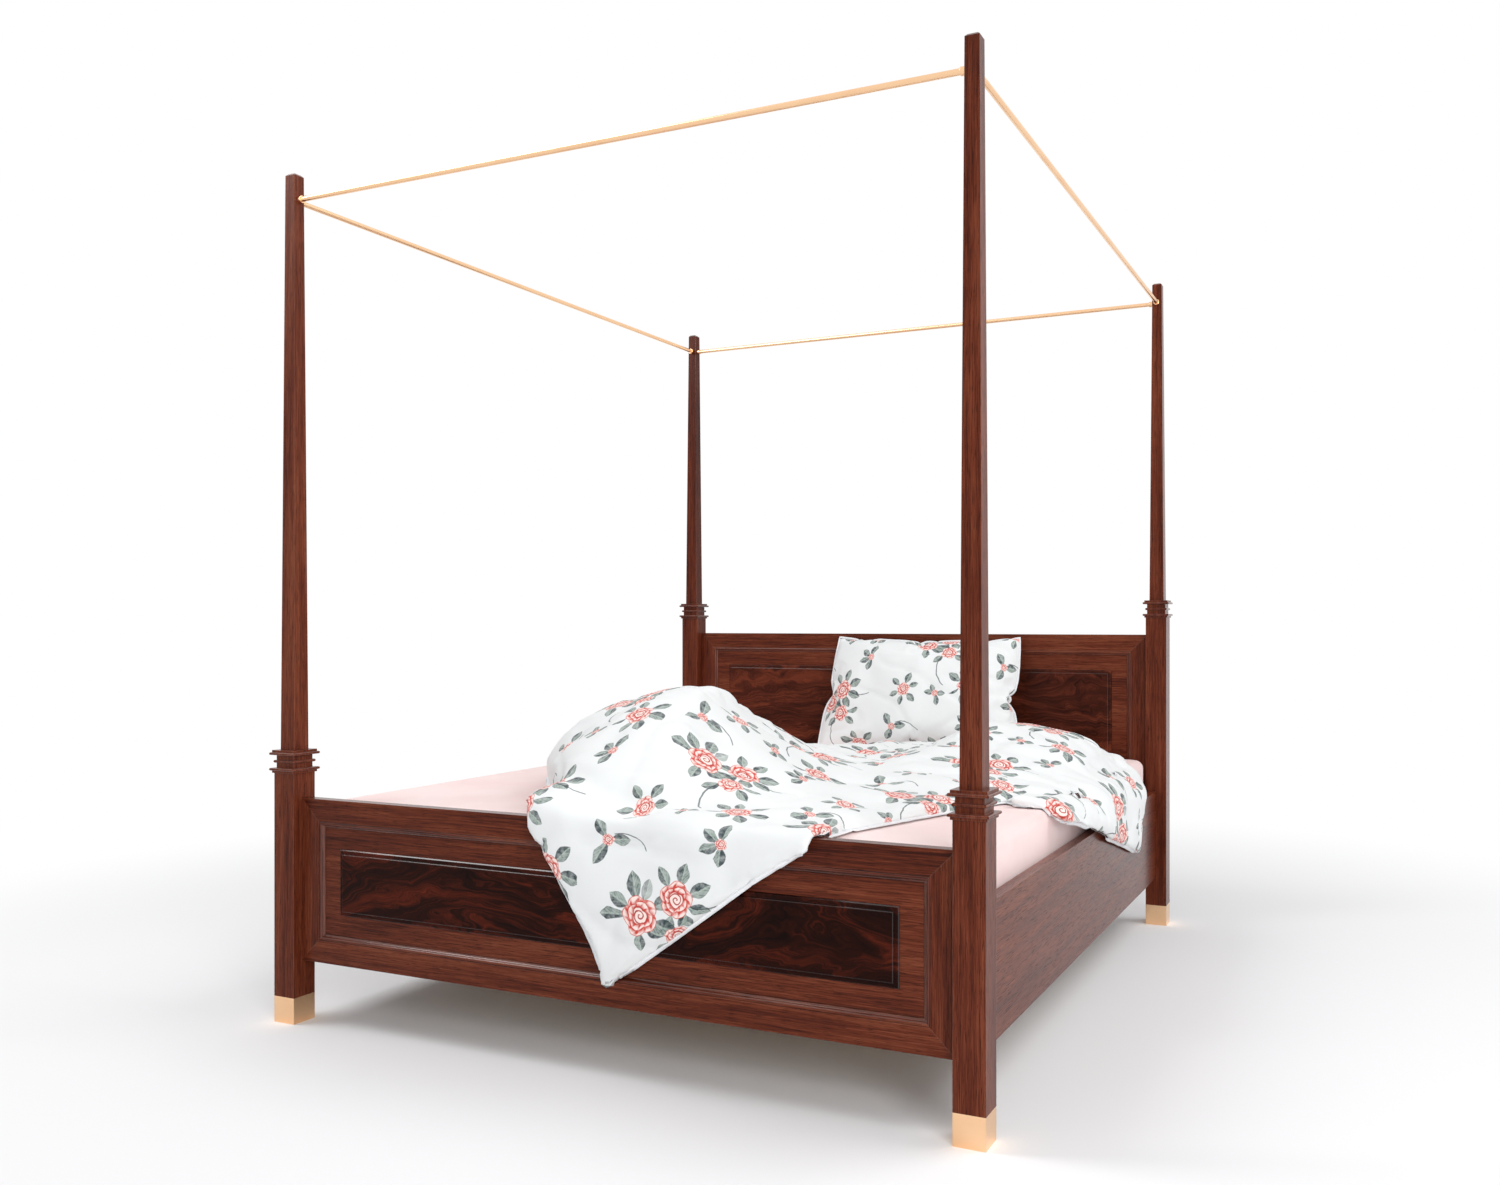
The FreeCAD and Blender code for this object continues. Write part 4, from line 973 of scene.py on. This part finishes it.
pillowLook = {
    "cut": (0.78, 0.48), "bow": (0.05, 0.1), "cells": (90, 58), "start": 0.07, "print": (0.13, 0.06),
    "pressure": 2.4, "slack": 0.08, "cap": 0.2, "frames": 20,
    "size": (0.745, 0.455, 0.172), "tilt": 20, "flare": 0.035, "lift": 0.0005,
    "waves": [((6, 6, 6), 0.012, 21), ((14, 9, 9), 0.006, 5)], "creases": [((5, 9, 9), 0.005, 12)],
    "calm": 2, "gap": 0.0008, "hem": 0.006, "hemThick": 0.0025,
}


def makePillow(look):
    # two cloths sewn round the edge and blown up, then stood against the headboard
    wide, high = look["cut"]
    bm = bmesh.new()
    bmesh.ops.create_grid(bm, x_segments=look["cells"][0], y_segments=look["cells"][1], size=0.5,
                          matrix=Matrix.Diagonal((wide, high, 1, 1)))
    copied = bmesh.ops.duplicate(bm, geom=bm.faces[:])["geom"]
    rear = [item for item in copied if isinstance(item, bmesh.types.BMFace)]
    bmesh.ops.reverse_faces(bm, faces=rear)
    under = {vert for face in rear for vert in face.verts}
    for vert in bm.verts:
        across, up = 2*vert.co.x/wide, 2*vert.co.y/high
        crown = look["start"]*math.sqrt(max(0, (1 - across**2)*(1 - up**2)))
        vert.co.z = -crown if vert in under else crown
        vert.co.x *= 1 + look["bow"][0]*(1 - up**2)
        vert.co.y *= 1 + look["bow"][1]*(1 - across**2)
    place = bm.loops.layers.uv.new("cloth")
    for face in bm.faces:
        for loop in face.loops:
            loop[place].uv = loop.vert.co.xy + Vector(look["print"])
    border = [vert for vert in bm.verts if vert.is_boundary]
    bmesh.ops.remove_doubles(bm, verts=border, dist=0.0001)
    back = set(rear)
    for edge in bm.edges:
        edge.seam = len({face in back for face in edge.link_faces}) == 2
    piece = pieceFrom(bm, "pillow-case", rosePrint)
    puffUp(piece, look)
    standPillow(piece, look)
    ruffle(piece, look, np.ones(len(piece.data.polygons), dtype=bool))
    clearPillow(piece, look["gap"])
    piece.data.shade_smooth()
    hem = sewHem("pillow-hem", piece, look, "pillow")
    clearPillow(hem, look["gap"])
    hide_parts("pillow")
    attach(piece, "pillow")
    print("pillow made,", len(piece.data.polygons), "faces")


def standPillow(piece, look):
    # fits the blown-up cover to its size and leans it back
    spots = points(piece)
    low, high = spots.min(0), spots.max(0)
    spots = (spots - (low + high)/2)/(high - low)*np.array(look["size"])
    spots[:, 0] *= 1 - look["flare"]*spots[:, 1]/look["size"][1]*2
    boxLow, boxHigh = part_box("pillow")
    middle = (boxLow + boxHigh)/2
    tilt = math.radians(look["tilt"])
    x, up, out = spots.T
    y = middle.y + up*math.sin(tilt) - out*math.cos(tilt)
    z = middle.z + up*math.cos(tilt) + out*math.sin(tilt)
    y = np.minimum(y, boxHigh.y)
    z = np.maximum(z, boxLow.z + look["lift"])
    setPoints(piece, np.stack([x + middle.x, y, z], 1))


mattressLook = {"corner": 0.055, "edge": 0.026, "inset": 0.001, "cuts": (10, 11)}


def climb(edge):
    return abs(edge.verts[0].co.z - edge.verts[1].co.z)


def roundedBlock(low, high, look, cuts):
    # a block with round upright corners and softly rounded edges, in small faces
    bm = bmesh.new()
    size = high - low
    place = Matrix.Translation((low + high)/2) @ Matrix.Diagonal((*size, 1))
    bmesh.ops.create_cube(bm, size=1, matrix=place)
    upright = [edge for edge in bm.edges if climb(edge) > size.z/2]
    bmesh.ops.bevel(bm, geom=upright, offset=look["corner"], offset_type="OFFSET", affect="EDGES",
                    segments=8, profile=0.5, material=-1)
    level = [edge for edge in bm.edges if climb(edge) < 1e-5
             and any(abs(face.normal.z) >= 0.5 for face in edge.link_faces)]
    bmesh.ops.bevel(bm, geom=level, offset=look["edge"], offset_type="OFFSET", affect="EDGES",
                    segments=6, profile=0.5, material=-1)
    for normal, count in zip((Vector((1, 0, 0)), Vector((0, 1, 0))), cuts):
        for number in range(1, count):
            spot = low.lerp(high, number/count)
            everything = bm.verts[:] + bm.edges[:] + bm.faces[:]
            bmesh.ops.bisect_plane(bm, geom=everything, plane_co=spot, plane_no=normal)
    return bm


def makeMattress(look):
    low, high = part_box("mattress")
    inset = Vector((1, 1, 1))*look["inset"]
    bm = roundedBlock(low + inset, high - inset, look, look["cuts"])
    piece = pieceFrom(bm, "mattress-core", ticking)
    piece.data.shade_smooth()
    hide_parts("mattress")
    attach(piece, "mattress")
    print("mattress made")


sheetLook = {"thick": 0.0011, "tuck": 0.09, "cuts": (60, 66)}


def makeSheet(look):
    # follows the mattress and is tucked under it, open in the middle of the underside
    low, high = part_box("fitted_sheet")
    bm = roundedBlock(low, high, mattressLook, look["cuts"])
    tuck = Vector((look["tuck"], look["tuck"], 0))
    inLow, inHigh = low + tuck, high - tuck
    under = []
    for face in bm.faces:
        middle = face.calc_center_median()
        level = face.normal.z < -0.9 and middle.z < low.z + 0.003
        if level and inLow.x < middle.x < inHigh.x and inLow.y < middle.y < inHigh.y:
            under.append(face)
    bmesh.ops.delete(bm, geom=under, context="FACES")
    piece = pieceFrom(bm, "fitted-sheet", jersey)
    piece.data.shade_smooth()
    thicken(piece, look["thick"], -1)
    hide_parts("fitted_sheet")
    drop = high.z - low.z + look["tuck"]
    flat = [high.x - low.x + 2*drop, high.y - low.y + 2*drop]
    area = flat[0]*flat[1] - 4*drop*drop
    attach(piece, "mattress")
    print("sheet made,", len(piece.data.polygons), "faces")


makeMattress(mattressLook)
makeSheet(sheetLook)
makeDuvet(duvetLook)
makePillow(pillowLook)
